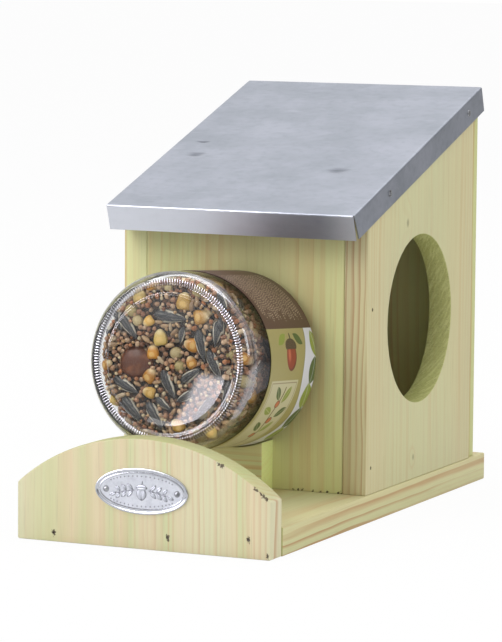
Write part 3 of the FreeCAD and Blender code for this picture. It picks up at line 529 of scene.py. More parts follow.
# How the pine of each board runs, in metres, and how strong its markings are. Each shade scales a
# board's colours; beside the wood's own tone it holds painted light and shade, so that each board
# looks as bright as it is lit: the left panel is made much lighter and the right panel darker.
grains = {
    "base": {"grain": "y", "wide": "x", "pith": (0.045, -0.045), "spacing": 0.0046, "late": 0.55,
             "pink": 0.3, "green": 0.7, "bands": 8.0, "edge": 0.4, "shade": (0.98, 1.0, 0.86)},
    "stop": {"grain": "z", "wide": "x", "pith": (-0.040, -0.108), "spacing": 0.0029, "late": 0.40,
             "pink": 0.3, "green": 0.3, "bands": 12.0, "shade": (1.05, 1.08, 1.12),
             "stripes": (-0.040, 0.020), "slot": "pale_pine"},
    "right": {"grain": "z", "wide": "y", "pith": (-0.010, 0.052), "spacing": 0.0027, "late": 0.24,
              "pink": 0.25, "green": 0.75, "bands": 5.0, "edge": 0.5, "shade": (0.94, 0.95, 0.86)},
    "left": {"grain": "z", "wide": "y", "pith": (0.020, 0.020), "spacing": 0.0036, "late": 0.40,
             "pink": 0.3, "green": 0.5, "shade": (1.28, 1.34, 1.12)},
    "front": {"grain": "z", "wide": "x", "pith": (0.010, 0.030), "spacing": 0.0042, "late": 0.42,
              "pink": 0.35, "green": 0.75, "shade": (1.02, 1.06, 0.81)},
    "back": {"grain": "z", "wide": "x", "pith": (-0.020, 0.200), "spacing": 0.0040, "late": 0.5,
             "pink": 0.4, "green": 0.5, "shade": (1.0, 1.04, 0.85)},
    # the jar rest's end grain takes a lighter tone: painted light where it catches the light
    "rest": {"grain": "x", "wide": "z", "pith": (-0.060, 0.075), "spacing": 0.0036, "late": 0.7,
             "pink": 0.3, "green": 0.8, "shade": (1.0, 1.07, 0.84), "ends": 0.75, "endTone": "litEnd"},
}


def scaled(rows):
    return [tuple(value * mm for value in row) for row in rows]


def bothSides(x, y):
    return [(-x * mm, y * mm, bradHole), (x * mm, y * mm, bradHole)]


def rectangle(low, high, a, b):
    return [(low[a], low[b]), (high[a], low[b]), (high[a], high[b]), (low[a], high[b])]


def makeBase():
    low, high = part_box("base_board")
    spots = [spot for x, y in boards["floorBrads"] for spot in bothSides(x, y)]
    bm = prism(rectangle(low, high, 0, 1), spots, high.z - low.z, onXY(low.z), ease=0.0008)
    finish = pineFinish("pineBase", **grains["base"])
    addPiece("baseBoard", bm, finish, "box", ["base_board"], 30)


def makeStopBoard():
    low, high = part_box("stop_board")
    half = high.x
    rise = boards["stopRise"] * mm
    radius = (half * half + rise * rise) / (2 * rise)
    middle = (boards["stopSide"] + boards["stopRise"]) * mm - radius
    reach = math.degrees(math.asin(half / radius))
    outline = [(-half, low.z), (half, low.z)] + arc(0, middle, radius, 90 - reach, 90 + reach, 48)
    brads = scaled(boards["stopBrads"])
    bm = prism(outline, [(x, z, bradHole) for x, z in brads], high.y - low.y, onXZ(low.y), ease=0.0010)
    marks = scaled(boards["stopTears"])
    for x, z in brads:                               # stained wood round each brad
        marks += [(x, z + 0.3 * mm, 1.1 * mm), (x + 0.4 * mm, z - 1.3 * mm, 0.7 * mm)]
    finish = pineFinish("pineStop", tints=boards["stopTints"], marks=marks, face=low.y, **grains["stop"])
    addPiece("stopBoard", bm, finish, "box", ["stop_board"], 30)


# Height of a panel's front edge, which lies under the sloped roof
def frontTop(low, high):
    return high.z - (high.y - low.y) * slope


def makeSide(name, node, finish, holes):
    low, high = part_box(node)
    outline = [(low.y, low.z), (high.y, low.z), (high.y, high.z), (low.y, frontTop(low, high))]
    spots = [(frontMiddle * mm, z * mm, bradHole) for z in boards["frontBrads"]]
    bm = prism(outline, holes + spots, high.x - low.x, onYZ(low.x))
    addPiece(name, bm, finish, "box", [node], 30)


def makeSides():
    hole = scaled([boards["entryHole"]])
    low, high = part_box("right_panel")
    # Painted shade on the right panel where it shows through the roof's slit
    shadeInSlit = boards["slitShade"]
    marks = [(low.y, frontTop(low, high) - drop * mm, shadeInSlit["reach"] * mm) for drop in shadeInSlit["drops"]]
    right = pineFinish("pineRight", knots=scaled(boards["panelKnots"]), marks=marks,
                       face=high.x - shadeInSlit["inset"] * mm, sawn=hole[0], **grains["right"])
    makeSide("rightPanel", "right_panel", right, hole)
    makeSide("leftPanel", "left_panel", pineFinish("pineLeft", **grains["left"]), [])


def makeUpright(name, node, finish, holes):
    low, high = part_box(node)
    front = frontTop(low, high)
    outline = [(low.x, low.z), (high.x, low.z), (high.x, front), (low.x, front)]
    bm = prism(outline, holes, high.y - low.y, onXZ(low.y), lean=(front - 4 * mm, slope))
    addPiece(name, bm, finish, "box", [node], 30)


def makeUprights():
    z, radius = boards["neckHole"]
    low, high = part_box("front_panel")
    torn = [(x * mm, low.z + rise * mm, size * mm) for x, rise, size in boards["frontTears"]]
    front = pineFinish("pineFront", marks=torn, face=low.y, joint=high.x, **grains["front"])
    makeUpright("frontPanel", "front_panel", front, [(0, z * mm, radius * mm)])
    spots = [spot for z in boards["backBrads"] for spot in bothSides(sideMiddle, z)]
    makeUpright("backPanel", "back_panel", pineFinish("pineBack", **grains["back"]), spots)


def makeJarRest():
    low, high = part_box("jar_rest")
    half = high.x
    radius = boards["seat"] * mm
    reach = math.degrees(math.asin(half / radius))
    middle = high.z + math.sqrt(radius * radius - half * half)
    outline = [(-half, low.z), (half, low.z)] + arc(0, middle, radius, reach - 90, -reach - 90, 16)
    bm = prism(outline, [], high.y - low.y, onXZ(low.y), ease=0.0004)
    addPiece("jarRest", bm, pineFinish("pineRest", **grains["rest"]), "box", ["jar_rest"], 30)


# Roof: one galvanised sheet with its front and side edges folded down and the corners slit
roof = {
    "flange": 14.8,
    "thick": 0.6,
    "bend": 1.0,             # outer radius of the folds
    "slit": (0.4, 2.4),      # width of the corner slits at the fold and at the lower edge
    "wave": 0.14,
    "waveFade": 18.0,        # waves die away this near to an edge
    "frontGap": 0.7,         # the front flange ends this far inside the outer faces of the others
    "straight": 0.3,         # strip just below each fold
    "nails": (51.0, 176.0),  # from the front edge, along the slope
    # x, way up the roof, reach and depth of each dent
    "dents": ((39.7, 64.5, 9.0, 0.6), (-56.0, 80.0, 7.5, 0.45), (-60.0, 99.0, 4.5, 0.35)),
    # x where the front fold's painted shade, a dimmer patch of its reflection, starts, is full, begins to
    # thin out and is thin
    "dimSheen": (-5.0, 50.0, 52.0, 76.0),
    # The lightest tone is a painted sheen on the front fold; the two darkest are painted shade, on the
    # front fold and in the dents
    "tones": {"light": (158, 163, 173), "bright": (174, 178, 189), "mottled": (144, 149, 159),
              "rubbed": (196, 199, 208), "wearAndSheen": (232, 235, 243), "dimSheen": (120, 122, 130),
              "dentDark": (96, 100, 108)},
}


# The sheet's own axes, with y up the slope from the front edge, and its length
def roofAxes():
    low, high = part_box("roof_sheet")
    tilt = math.radians(boards["slope"])
    depth = roof["flange"] * mm
    length = (high.y - low.y - depth * math.sin(tilt)) / math.cos(tilt)
    lift = high.z - length * math.sin(tilt)
    return Matrix.Translation((0, low.y, lift)) @ Matrix.Rotation(tilt, 4, "X"), length


def zincFinish(axes):
    finish = Finish("zincSheet", slot="roof_sheet", Metallic=0.9)
    x, y, z = finish.split(finish.place())
    tones = {key: paint(value) for key, value in roof["tones"].items()}
    cloud = finish.noise(x * 22, y * 34, z * 34, 3.0, 0.6)
    mottle = finish.noise(x * 170, y * 240, z * 240, 3.0, 0.6)
    rub = finish.noise(x * 60, y * 420, z * 420, 2.0, 0.6)
    colour = finish.mix(cloud.step(0.30, 0.72), tones["light"], tones["bright"])
    colour = finish.mix(mottle.step(0.45, 0.75) * 0.30, colour, tones["mottled"])
    colour = finish.mix(rub.step(0.56, 0.80) * 0.25, colour, tones["rubbed"])
    facing = finish.split(finish.node("ShaderNodeNewGeometry", output="Normal"))
    front = facing[1].step(-0.6, -0.9)               # 1 on the front fold, which gets a painted sheen
    # Painted light on the front fold: a bright sheen over most of it, and painted shade over a dimmer
    # patch on its right
    start, full, thin, end = [value * mm for value in roof["dimSheen"]]
    dimSheen = (x + (cloud - 0.5) * 0.06).step(start, full) * (1 - x.step(thin, end) * 0.7)
    colour = finish.mix(front * (1 - dimSheen) * 0.65, colour, tones["wearAndSheen"])
    colour = finish.mix(front * dimSheen * 0.28, colour, tones["dimSheen"])
    # Painted shade in the dents: darker towards the middle of each
    dentShading = None
    for across, up, reach in [dent[:3] for dent in roof["dents"]]:
        spot = axes @ Vector((across * mm, up * mm, 0))
        far = (((x - spot.x) * 0.55) ** 2 + (y - spot.y) ** 2 + (z - spot.z) ** 2).root()
        dentShading = stronger(dentShading, (far + (rub - 0.5) * 0.006).step(reach * 0.55 * mm, 0.0))
    colour = finish.mix(dentShading * 0.8, colour, tones["dentDark"])
    finish.feed("Base Color", colour)
    finish.feed("Roughness", 0.34 + mottle * 0.16 + dentShading * 0.1)
    finish.bump(mottle * 0.5 + rub * 0.4, 0.25, 0.0001)
    return finish


def makeRoof():
    axes, length = roofAxes()
    bend = roof["bend"] * mm
    depth = roof["flange"] * mm
    straight = roof["straight"] * mm
    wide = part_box("roof_sheet")[1].x - bend
    bm = bmesh.new()
    bmesh.ops.create_grid(bm, x_segments=76, y_segments=98, size=1.0)
    size = Matrix.Diagonal((wide, (length - bend) / 2, 1, 1))
    shift = Matrix.Translation((0, (length + bend) / 2, 0))
    bmesh.ops.transform(bm, matrix=shift @ size, verts=bm.verts)
    for vert in bm.verts:
        x, y = vert.co.x, vert.co.y
        inside = min(wide - abs(x), y - bend, length - y) / (roof["waveFade"] * mm)
        fade = max(0.0, min(1.0, inside)) ** 2
        vert.co.z = (noise.noise((x * 24, y * 17, 0.4)) - 0.3) * roof["wave"] * mm * fade
        for across, up, reach, sink in roof["dents"]:
            far = math.hypot(x - across * mm, y - up * mm) / (reach * mm)
            vert.co.z -= math.exp(-far * far * 3) * sink * mm
    # Each fold is the sheet's edge spun through a quarter turn and then drawn straight down
    folds = (
        (lambda co: co.x > wide - 1e-6, (wide, 0, -bend), (0, 1, 0)),
        (lambda co: co.x < -wide + 1e-6, (-wide, 0, -bend), (0, -1, 0)),
        (lambda co: co.y < bend + 1e-6, (0, bend, -bend), (1, 0, 0)),
    )
    border = [edge for edge in bm.edges if edge.is_boundary]
    for number, (test, centre, axis) in enumerate(folds):
        edges = [edge for edge in border if all(test(vert.co) for vert in edge.verts)]
        verts = list({vert for edge in edges for vert in edge.verts})
        spun = bmesh.ops.spin(bm, geom=verts + edges, cent=centre, axis=axis, angle=math.pi / 2, steps=4)
        last = [item for item in spun["geom_last"] if isinstance(item, bmesh.types.BMEdge)]
        knees = {vert for edge in last for vert in edge.verts}
        for drop in (straight, depth - bend - straight):
            drawn = bmesh.ops.extrude_edge_only(bm, edges=last)
            last = [item for item in drawn["geom"] if isinstance(item, bmesh.types.BMEdge)]
            feet = [item for item in drawn["geom"] if isinstance(item, bmesh.types.BMVert)]
            bmesh.ops.translate(bm, verts=feet, vec=(0, 0, -drop))
            knees.update(feet)
        if number == 2:                                  # front flange: wider, up to the side flanges
            for vert in knees:
                if abs(vert.co.x) > wide - 1e-6:
                    vert.co.x += math.copysign(bend - roof["frontGap"] * mm, vert.co.x)
        else:                                            # side flanges: cut back towards the foot
            for vert in feet:
                if vert.co.y < bend + 1e-6:
                    vert.co.y += (roof["slit"][1] - roof["slit"][0]) * mm
    bmesh.ops.recalc_face_normals(bm, faces=bm.faces)
    if sum(face.normal.z for face in bm.faces) < 0:
        bmesh.ops.reverse_faces(bm, faces=bm.faces)
    for face in bm.faces:
        face.smooth = True
    for edge in bm.edges:
        edge.smooth = edge.is_manifold and edge.calc_face_angle() < math.radians(40)
    bmesh.ops.transform(bm, matrix=axes, verts=bm.verts)
    sheet = addPiece("roofSheet", bm, zincFinish(axes), "box", ["roof_sheet"])
    thick = sheet.modifiers.new("thickness", "SOLIDIFY")
    thick.thickness = roof["thick"] * mm
    thick.offset = -1.0


# Turned pieces: a half outline of (radius, height) in millimetres, spun round the z axis
def lathe(rows, steps=24):
    bm = bmesh.new()
    corners = [bm.verts.new((radius * mm, 0, height * mm)) for radius, height in rows]
    edges = [bm.edges.new(pair) for pair in zip(corners, corners[1:])]
    bmesh.ops.spin(bm, geom=corners + edges, cent=(0, 0, 0), axis=(0, 0, 1), angle=2 * math.pi,
                   steps=steps, use_merge=True)
    bmesh.ops.remove_doubles(bm, verts=bm.verts, dist=1e-7)
    bmesh.ops.recalc_face_normals(bm, faces=bm.faces)
    return bm


# Copies of a turned shape, one at each matrix, in one mesh
def repeated(rows, places):
    source = lathe(rows)
    shape = bpy.data.meshes.new("shape")
    source.to_mesh(shape)
    source.free()
    bm = bmesh.new()
    for place in places:
        one = shape.copy()
        one.transform(place)
        bm.from_mesh(one)
        bpy.data.meshes.remove(one)
    bpy.data.meshes.remove(shape)
    bmesh.ops.recalc_face_normals(bm, faces=bm.faces)
    return bm


# Half outlines of a roof nail and of a pin of the plate, as (radius, height)
nails = {
    "clout": ((0, 0.55), (0.7, 0.7), (1.5, 0.62), (1.95, 0.4), (2.1, 0.15), (2.1, 0.0), (1.1, 0.0),
              (1.1, -9.6), (0, -11.8)),
    "pin": ((0, 0.8), (0.6, 0.74), (1.05, 0.5), (1.4, 0.08), (1.4, 0.0), (0.7, 0.0), (0.7, -6.4),
            (0, -7.7)),
    "pinSpread": 21.0,
}


# Steel with grime in patches between a light and a dark tone
def steelFinish(name, slot, light, dark, roughness):
    finish = Finish(name, slot=slot, Metallic=0.85)
    x, y, z = finish.split(finish.place())
    grime = finish.noise(x * 900, y * 900, z * 900, 3.0, 0.6)
    finish.feed("Base Color", finish.mix(grime.step(0.38, 0.66), paint(light), paint(dark)))
    finish.feed("Roughness", roughness + grime * 0.2)
    finish.bump(grime, 0.4, 0.0002)
    return finish


def makeNails():
    steel = steelFinish("roofNail", "roof_nail", (170, 172, 176), (92, 92, 94), 0.25)
    axes = roofAxes()[0]
    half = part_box("roof_sheet")[1].x
    down = -roof["flange"] / 2 * mm
    for name, node, side in (("roofNailsRight", "roof_nails_right", 1),
                             ("roofNailsLeft", "roof_nails_left", -1)):
        outwards = Matrix.Rotation(math.radians(90 * side), 4, "Y")
        places = [axes @ Matrix.Translation((half * side, up * mm, down)) @ outwards
                  for up in roof["nails"]]
        addPiece(name, repeated(nails["clout"], places), steel, "box", [node], 35)
    brad = steelFinish("bradEnd", "wire_nail", (112, 104, 92), (58, 50, 42), 0.4)
    # Brads keep the shapes of the CAD and get the finish alone
    for node in ("stop_board_nails", "jar_rest_nails", "front_panel_nails_left",
                 "front_panel_nails_right", "back_panel_nails", "floor_nails"):
        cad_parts[node].data.materials.clear()
        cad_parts[node].data.materials.append(brad.material)


# Oval plate: rings of an oval, each (distance in from the edge, height) in millimetres. No two
# neighbours have the same height, or the bridge between them would cross over.
plate = {
    "long": 27.5,
    "short": 12.4,
    "rings": ((0.0, 0.0), (0.0, 0.55), (0.12, 0.85), (0.45, 1.06), (0.8, 1.08), (1.15, 0.95), (1.4, 0.68),
              (1.6, 0.58), (2.1, 0.56), (2.35, 0.66), (2.6, 0.7), (2.85, 0.66), (3.1, 0.59), (3.5, 0.57)),
    "field": 0.57,           # height of the flat field inside the rim
    "height": 31.3,          # of its middle above the ground
    "beads": 56,
    "beadsIn": 4.3,          # from the edge
    "beadsReach": 18.6,      # beads stop short of the pins
    # raised shapes: x, y, turn in degrees, length, width, height
    "acorn": ((0, -1.5, 90, 7.4, 6.2, 0.55), (0, 1.9, 0, 7.4, 3.6, 0.6), (0.3, 4.4, 80, 2.6, 1.0, 0.45)),
}


def leaf(bm, x, y, turn, long, wide, high):
    place = Matrix.Translation((x * mm, y * mm, 0.5 * mm)) @ Matrix.Rotation(math.radians(turn), 4, "Z")
    made = bmesh.ops.create_uvsphere(bm, u_segments=16, v_segments=10, radius=1.0)["verts"]
    for vert in made:
        t = vert.co.x
        point = (1 - abs(t) ** 2.2) ** 0.35 if abs(t) < 1 else 0
        groove = 1 - 0.45 * math.exp(-(vert.co.y / 0.22) ** 2)
        lift = max(vert.co.z, -0.2) * high * groove
        vert.co = Vector((t * long / 2, vert.co.y * wide / 2 * point, lift)) * mm
    bmesh.ops.transform(bm, matrix=place, verts=made)


# Chrome, brushed dull inside the rim. face is the y of the field, and height that of the middle.
def plateFinish(face, height):
    finish = Finish("plateChrome", slot="plate_metal", Metallic=1.0)
    x, y, z = finish.split(finish.place())
    wearAndSheen = finish.noise(x * 260, y * 260, z * 260, 3.0, 0.6)
    stipple = finish.noise(x * 2200, y * 2200, z * 2200, 2.0, 0.6)
    inner = ((x / (24.4 * mm)) ** 2 + ((z - height) / (9.3 * mm)) ** 2).step(1.02, 0.94)
    raised = (face - y) / mm
    creaseShade = raised.step(0.01, 0.04) * raised.step(0.30, 0.12)
    motif = inner * raised.step(0.06, 0.22)
    colour = finish.mix(wearAndSheen.step(0.4, 0.75), paint((216, 219, 226)), paint((198, 201, 209)))
    for side in (-1, 1):                             # painted shadow round the pins
        far = ((x - nails["pinSpread"] * side * mm) ** 2 + (z - height) ** 2).root()
        colour = finish.mix(far.step(2.0 * mm, 1.5 * mm) * 0.75, colour, paint((92, 92, 98)))
    colour = finish.mix(inner * stipple.step(0.50, 0.72) * 0.3, colour, paint((150, 153, 162)))
    colour = finish.mix(motif * 0.35, colour, paint((150, 153, 162)))
    colour = finish.mix((1 - inner) * 0.3, colour, paint((170, 172, 180)))
    # Painted shade in the creases at the foot of the raised shapes
    finish.feed("Base Color", finish.mix(inner * creaseShade * 0.8, colour, paint((70, 70, 78))))
    finish.feed("Roughness", 0.15 + wearAndSheen * 0.08 + inner * 0.20 + motif * 0.14)
    finish.bump(wearAndSheen * 0.3 + stipple * inner * 0.5, 0.3, 0.0002)
    return finish


def makePlate():
    bm = bmesh.new()
    loops = []
    for inset, height in plate["rings"]:
        size = Matrix.Diagonal(((plate["long"] - inset) * mm, (plate["short"] - inset) * mm, 1, 1))
        ring = bmesh.ops.create_circle(bm, segments=112, radius=1.0,
                                       matrix=Matrix.Translation((0, 0, height * mm)) @ size)["verts"]
        loops.append(list({edge for vert in ring for edge in vert.link_edges}))
    for a, b in zip(loops, loops[1:]):
        bmesh.ops.bridge_loops(bm, edges=a + b)
    for ends in (loops[0], loops[-1]):
        bmesh.ops.contextual_create(bm, geom=ends)
    bmesh.ops.recalc_face_normals(bm, faces=bm.faces)
    # Raised sprig on each side of an acorn, and a row of beads inside the rim
    for side in (-1, 1):
        for step in range(3):
            x = side * (6.0 + step * 3.5)
            lift = 0.6 - 0.011 * x * x
            leaf(bm, x + side * 0.9, lift + 1.9, side * 44, 5.0 - step * 0.5, 2.3, 0.5)
            leaf(bm, x + side * 0.9, lift - 1.9, -side * 44, 5.0 - step * 0.5, 2.3, 0.5)
            leaf(bm, x, lift, -side * 8, 4.4, 0.9, 0.36)
        leaf(bm, side * 17.0, -2.4, -side * 24, 4.6, 2.1, 0.5)
    for part in plate["acorn"]:
        leaf(bm, *part)
    for step in range(plate["beads"]):
        turn = 2 * math.pi * step / plate["beads"]
        x = (plate["long"] - plate["beadsIn"]) * math.cos(turn)
        y = (plate["short"] - plate["beadsIn"]) * math.sin(turn)
        if abs(x) < plate["beadsReach"]:
            leaf(bm, x, y, 0, 0.9, 0.9, 0.36)
    back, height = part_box("nameplate")[1].y, plate["height"] * mm
    axes = Matrix.Translation((0, back, height)) @ Matrix.Rotation(math.radians(90), 4, "X")
    bmesh.ops.transform(bm, matrix=axes, verts=bm.verts)
    chrome = plateFinish(back - plate["field"] * mm, height)
    addPiece("namePlate", bm, chrome, "box", ["nameplate"], 32)
    places = [axes @ Matrix.Translation((nails["pinSpread"] * side * mm, 0, 0.56 * mm))
              for side in (-1, 1)]
    pin = steelFinish("platePin", "plate_metal", (176, 178, 182), (120, 122, 126), 0.2)
    addPiece("namePlatePins", repeated(nails["pin"], places), pin, "box", ["nameplate_pins"], 35)


# Jar, in millimetres on its own axes: z runs from the base to the mouth and y points down
jar = {
    "base": (0, -124.7, 97.1),
    "tilt": 4.86,
    "radius": 48.6,
    "wall": 3.0,
    "heel": 6.5,
    "floor": 6.2,            # inner face of the base
    "innerHeel": 5.0,
    "shoulder": (86.0, 95.5),
    "neck": 38.8,
    "height": 114.0,
    "dome": 150.0,           # radius of the hollow base
    "knurl": (40.6, 44.6),   # ring of small ribs that the jar stands on, between two radii
    "teeth": 180,
    "toothHeight": 0.75,
    "lugs": 4,               # short threads round the neck
    "lugStart": 104.2,
    "lugRise": 4.6,
    "lugHeight": 1.3,
    "lugHalf": 1.3,          # half of a thread's width
    # stretches of the outline, as (radius, z)
    "foot": ((34.2, 0.42), (35.0, 0.22), (35.7, 0.2), (36.2, 0.42), (36.6, 0.95), (37.1, 1.3),
             (37.8, 1.35), (38.8, 1.15), (39.6, 0.8)),
    "rounding": ((48.2, 88.0), (47.0, 89.6), (45.2, 91.2), (41.4, 93.8), (39.6, 94.8)),
    "bead": ((40.4, 97.0), (41.0, 97.6), (41.0, 98.9), (40.4, 99.6)),
    "innerRounding": ((36.3, 94.6), (38.5, 92.4), (43.0, 89.0), (45.0, 87.2)),
    "innerFloor": ((30, 6.3), (20, 6.45), (10, 6.55), (0, 6.6)),
}
jarInner = jar["radius"] - jar["wall"]
jarBore = jar["neck"] - jar["wall"]
jarAxes = (Matrix.Translation(Vector(jar["base"]) * mm)
           @ Matrix.Rotation(math.radians(-90 - jar["tilt"]), 4, "X"))


# Clear glass: painted shade between the teeth of the knurl, thinner to the eye round the heel, and
# a painted shadow of the label that darkens it towards the label. Only its outside has the coat that
# mirrors the room, because mirrored light on the inner faces would hang like a veil before the feed.
def glassFinish():
    finish = Finish("clearGlass", slot="clear_glass", Roughness=0.0, IOR=1.18, Transmission_Weight=0.995,
                    Coat_Roughness=0.0)
    x, y, z = finish.split(finish.attribute("spot", "Vector"))
    far = (x ** 2 + y ** 2).root()
    start, end = jar["knurl"]
    ring = far.step(start, start + 0.5) * far.step(end, end - 0.5) * z.step(2.2, 1.6)
    teeth = (y.turn(x) * jar["teeth"] + (far - (start + end) / 2).size() * 1.6).sine()
    # Painted shade in the gaps between the knurl's teeth
    dark = teeth.step(-0.1, 0.8) * ring
    heel = z.step(1.0, 3.0) * z.step(11.0, 6.0) * far.step(45.8, 47.2)
    inside = z.step(5.5, 5.8) * z.step(88.0, 86.0) * far.step(45.9, 45.7)
    silver = ring * (1 - dark) * 0.38 + heel * 0.35
    # Painted shadow of the label inside the jar, darker towards the label
    labelShadow = z.step(8.0, 25.0) * z.step(60.0, 30.0)
    colour = finish.mix(heel.most(ring), (0.985, 1.0, 0.992), (0.74, 0.74, 0.80))
    colour = finish.mix(dark, colour, (0.12, 0.11, 0.12))
    colour = finish.mix(labelShadow, colour, (0.30, 0.24, 0.23))
    finish.feed("Base Color", colour)
    finish.feed("Metallic", silver)
    dimSheen = z.step(7.0, 11.0) * z.step(60.0, 30.0) * x.step(-10.0, 20.0)
    finish.feed("Coat Weight", (1 - dimSheen * 0.9) * (1 - inside) * (1 - dark * 0.9))
    shadow = finish.node("ShaderNodeLightPath", output="Is Shadow Ray")
    finish.feed("Alpha", (1 - heel * 0.30) * (1 - shadow * 0.85))       # lamps light what is inside
    return finish


# Half outline from the middle of the base out, up, over the lip and back inside
def glassOutline():
    radius, heel, innerHeel, neck = jar["radius"], jar["heel"], jar["innerHeel"], jar["neck"]
    rows = [(3 * step, 4.4 - (3 * step) ** 2 / (2 * jar["dome"])) for step in range(12)]
    rows += jar["foot"]
    rows += [(40.2 + 0.5 * step, 0.55 - 0.13 * step) for step in range(4)]
    rows += arc(radius - heel, heel, heel, -90, 0, 30)
    rows += [(radius, z) for z in (12, 18, 45, 86)]
    rows += jar["rounding"] + ((neck, 95.4), (neck, 96.5)) + jar["bead"]
    rows += [(neck, 100.0 + 0.7 * step) for step in range(18)]
    rows += arc((neck + jarBore) / 2, jar["height"] - 1.5, 1.5, 0, 180, 8)
    rows += ((jarBore, 96.5),) + jar["innerRounding"]
    rows += [(jarInner, z) for z in (85.0, 40, 14)]
    rows += arc(jarInner - innerHeel, jar["floor"] + innerHeel, innerHeel, 0, -90, 8)
    return rows + list(jar["innerFloor"])


def makeGlass():
    bm = lathe(glassOutline(), jar["teeth"] * 3)
    start, end = jar["knurl"]
    spots = bm.verts.layers.float_vector.new("spot")
    for vert in bm.verts:
        vert[spots] = vert.co / mm
        x, y, z = vert.co / mm
        far = math.hypot(x, y)
        turn = math.atan2(y, x)
        if z < 1.5 and start < far < end:               # knurl
            fade = math.sin(math.pi * (far - start) / (end - start)) ** 0.6
            tooth = 0.5 + 0.5 * math.cos(turn * jar["teeth"])
            vert.co.z += jar["toothHeight"] * fade * tooth * mm
        if far > jar["neck"] - 0.1 and 101.5 < z < 111.5:      # threads
            part = (turn / (2 * math.pi) * jar["lugs"]) % 1.0
            middle = jar["lugStart"] + part * jar["lugRise"]
            across = max(0.0, 1 - ((z - middle) / jar["lugHalf"]) ** 2)
            ends = max(0.0, min(1.0, part / 0.08, (0.72 - part) / 0.08))
            grow = 1 + jar["lugHeight"] * across ** 0.6 * ends / far
            vert.co.x *= grow
            vert.co.y *= grow
    bmesh.ops.recalc_face_normals(bm, faces=bm.faces)
    bmesh.ops.transform(bm, matrix=jarAxes, verts=bm.verts)
    addPiece("jarGlass", bm, glassFinish(), "jar", ["jar_glass"], 60)


# Label: a paper sleeve printed with rows of small grains on brown, an acorn on an olive field, a
# pale panel with a sprig, and a white border with leaves. Lengths go round and along the jar.
label = {
    "start": 26.9,
    "width": 59.2,
    "wrap": 236.0,
    "inner": 48.65,
    "outer": 48.95,
    "tones": {"brown": (80, 54, 43), "brownLight": (96, 70, 56), "grain": (206, 186, 160),
              "olive": (156, 146, 90), "oliveLight": (164, 154, 102), "cream": (190, 184, 148),
              "white": (206, 206, 212), "leafDark": (78, 96, 46), "leafLime": (134, 146, 58),
              "nut": (142, 58, 34), "nutLight": (200, 112, 78), "nutDark": (66, 30, 24),
              "cap": (60, 46, 34), "capLight": (128, 106, 70), "frame": (112, 84, 56),
              "stem": (104, 84, 46), "berry": (104, 52, 32), "berryLight": (190, 112, 70)},
    "field": -20.0,          # where the olive field starts
    "leaves": ((-11.0, 58.0, 8.0, 5.0, 14, "leafLime"), (4.0, 56.5, 8.4, 5.6, -12, "leafDark"),
               (19.0, 55.5, 8.6, 6.2, 14, "leafLime"), (34.0, 56.0, 8.6, 6.2, -12, "leafDark"),
               (48.0, 56.0, 8.0, 5.6, 10, "leafLime")),
    "sprig": ((16.0, 17.0, 5.6, 2.5, 40, "leafDark"), (17.0, 28.5, 6.2, 2.8, -35, "leafLime"),
              (26.5, 13.0, 5.8, 2.6, 70, "leafLime"), (28.0, 31.0, 6.0, 2.7, -60, "leafDark"),
              (38.0, 15.5, 6.0, 2.6, 50, "leafDark"), (39.0, 28.5, 6.0, 2.6, -40, "leafLime")),
}


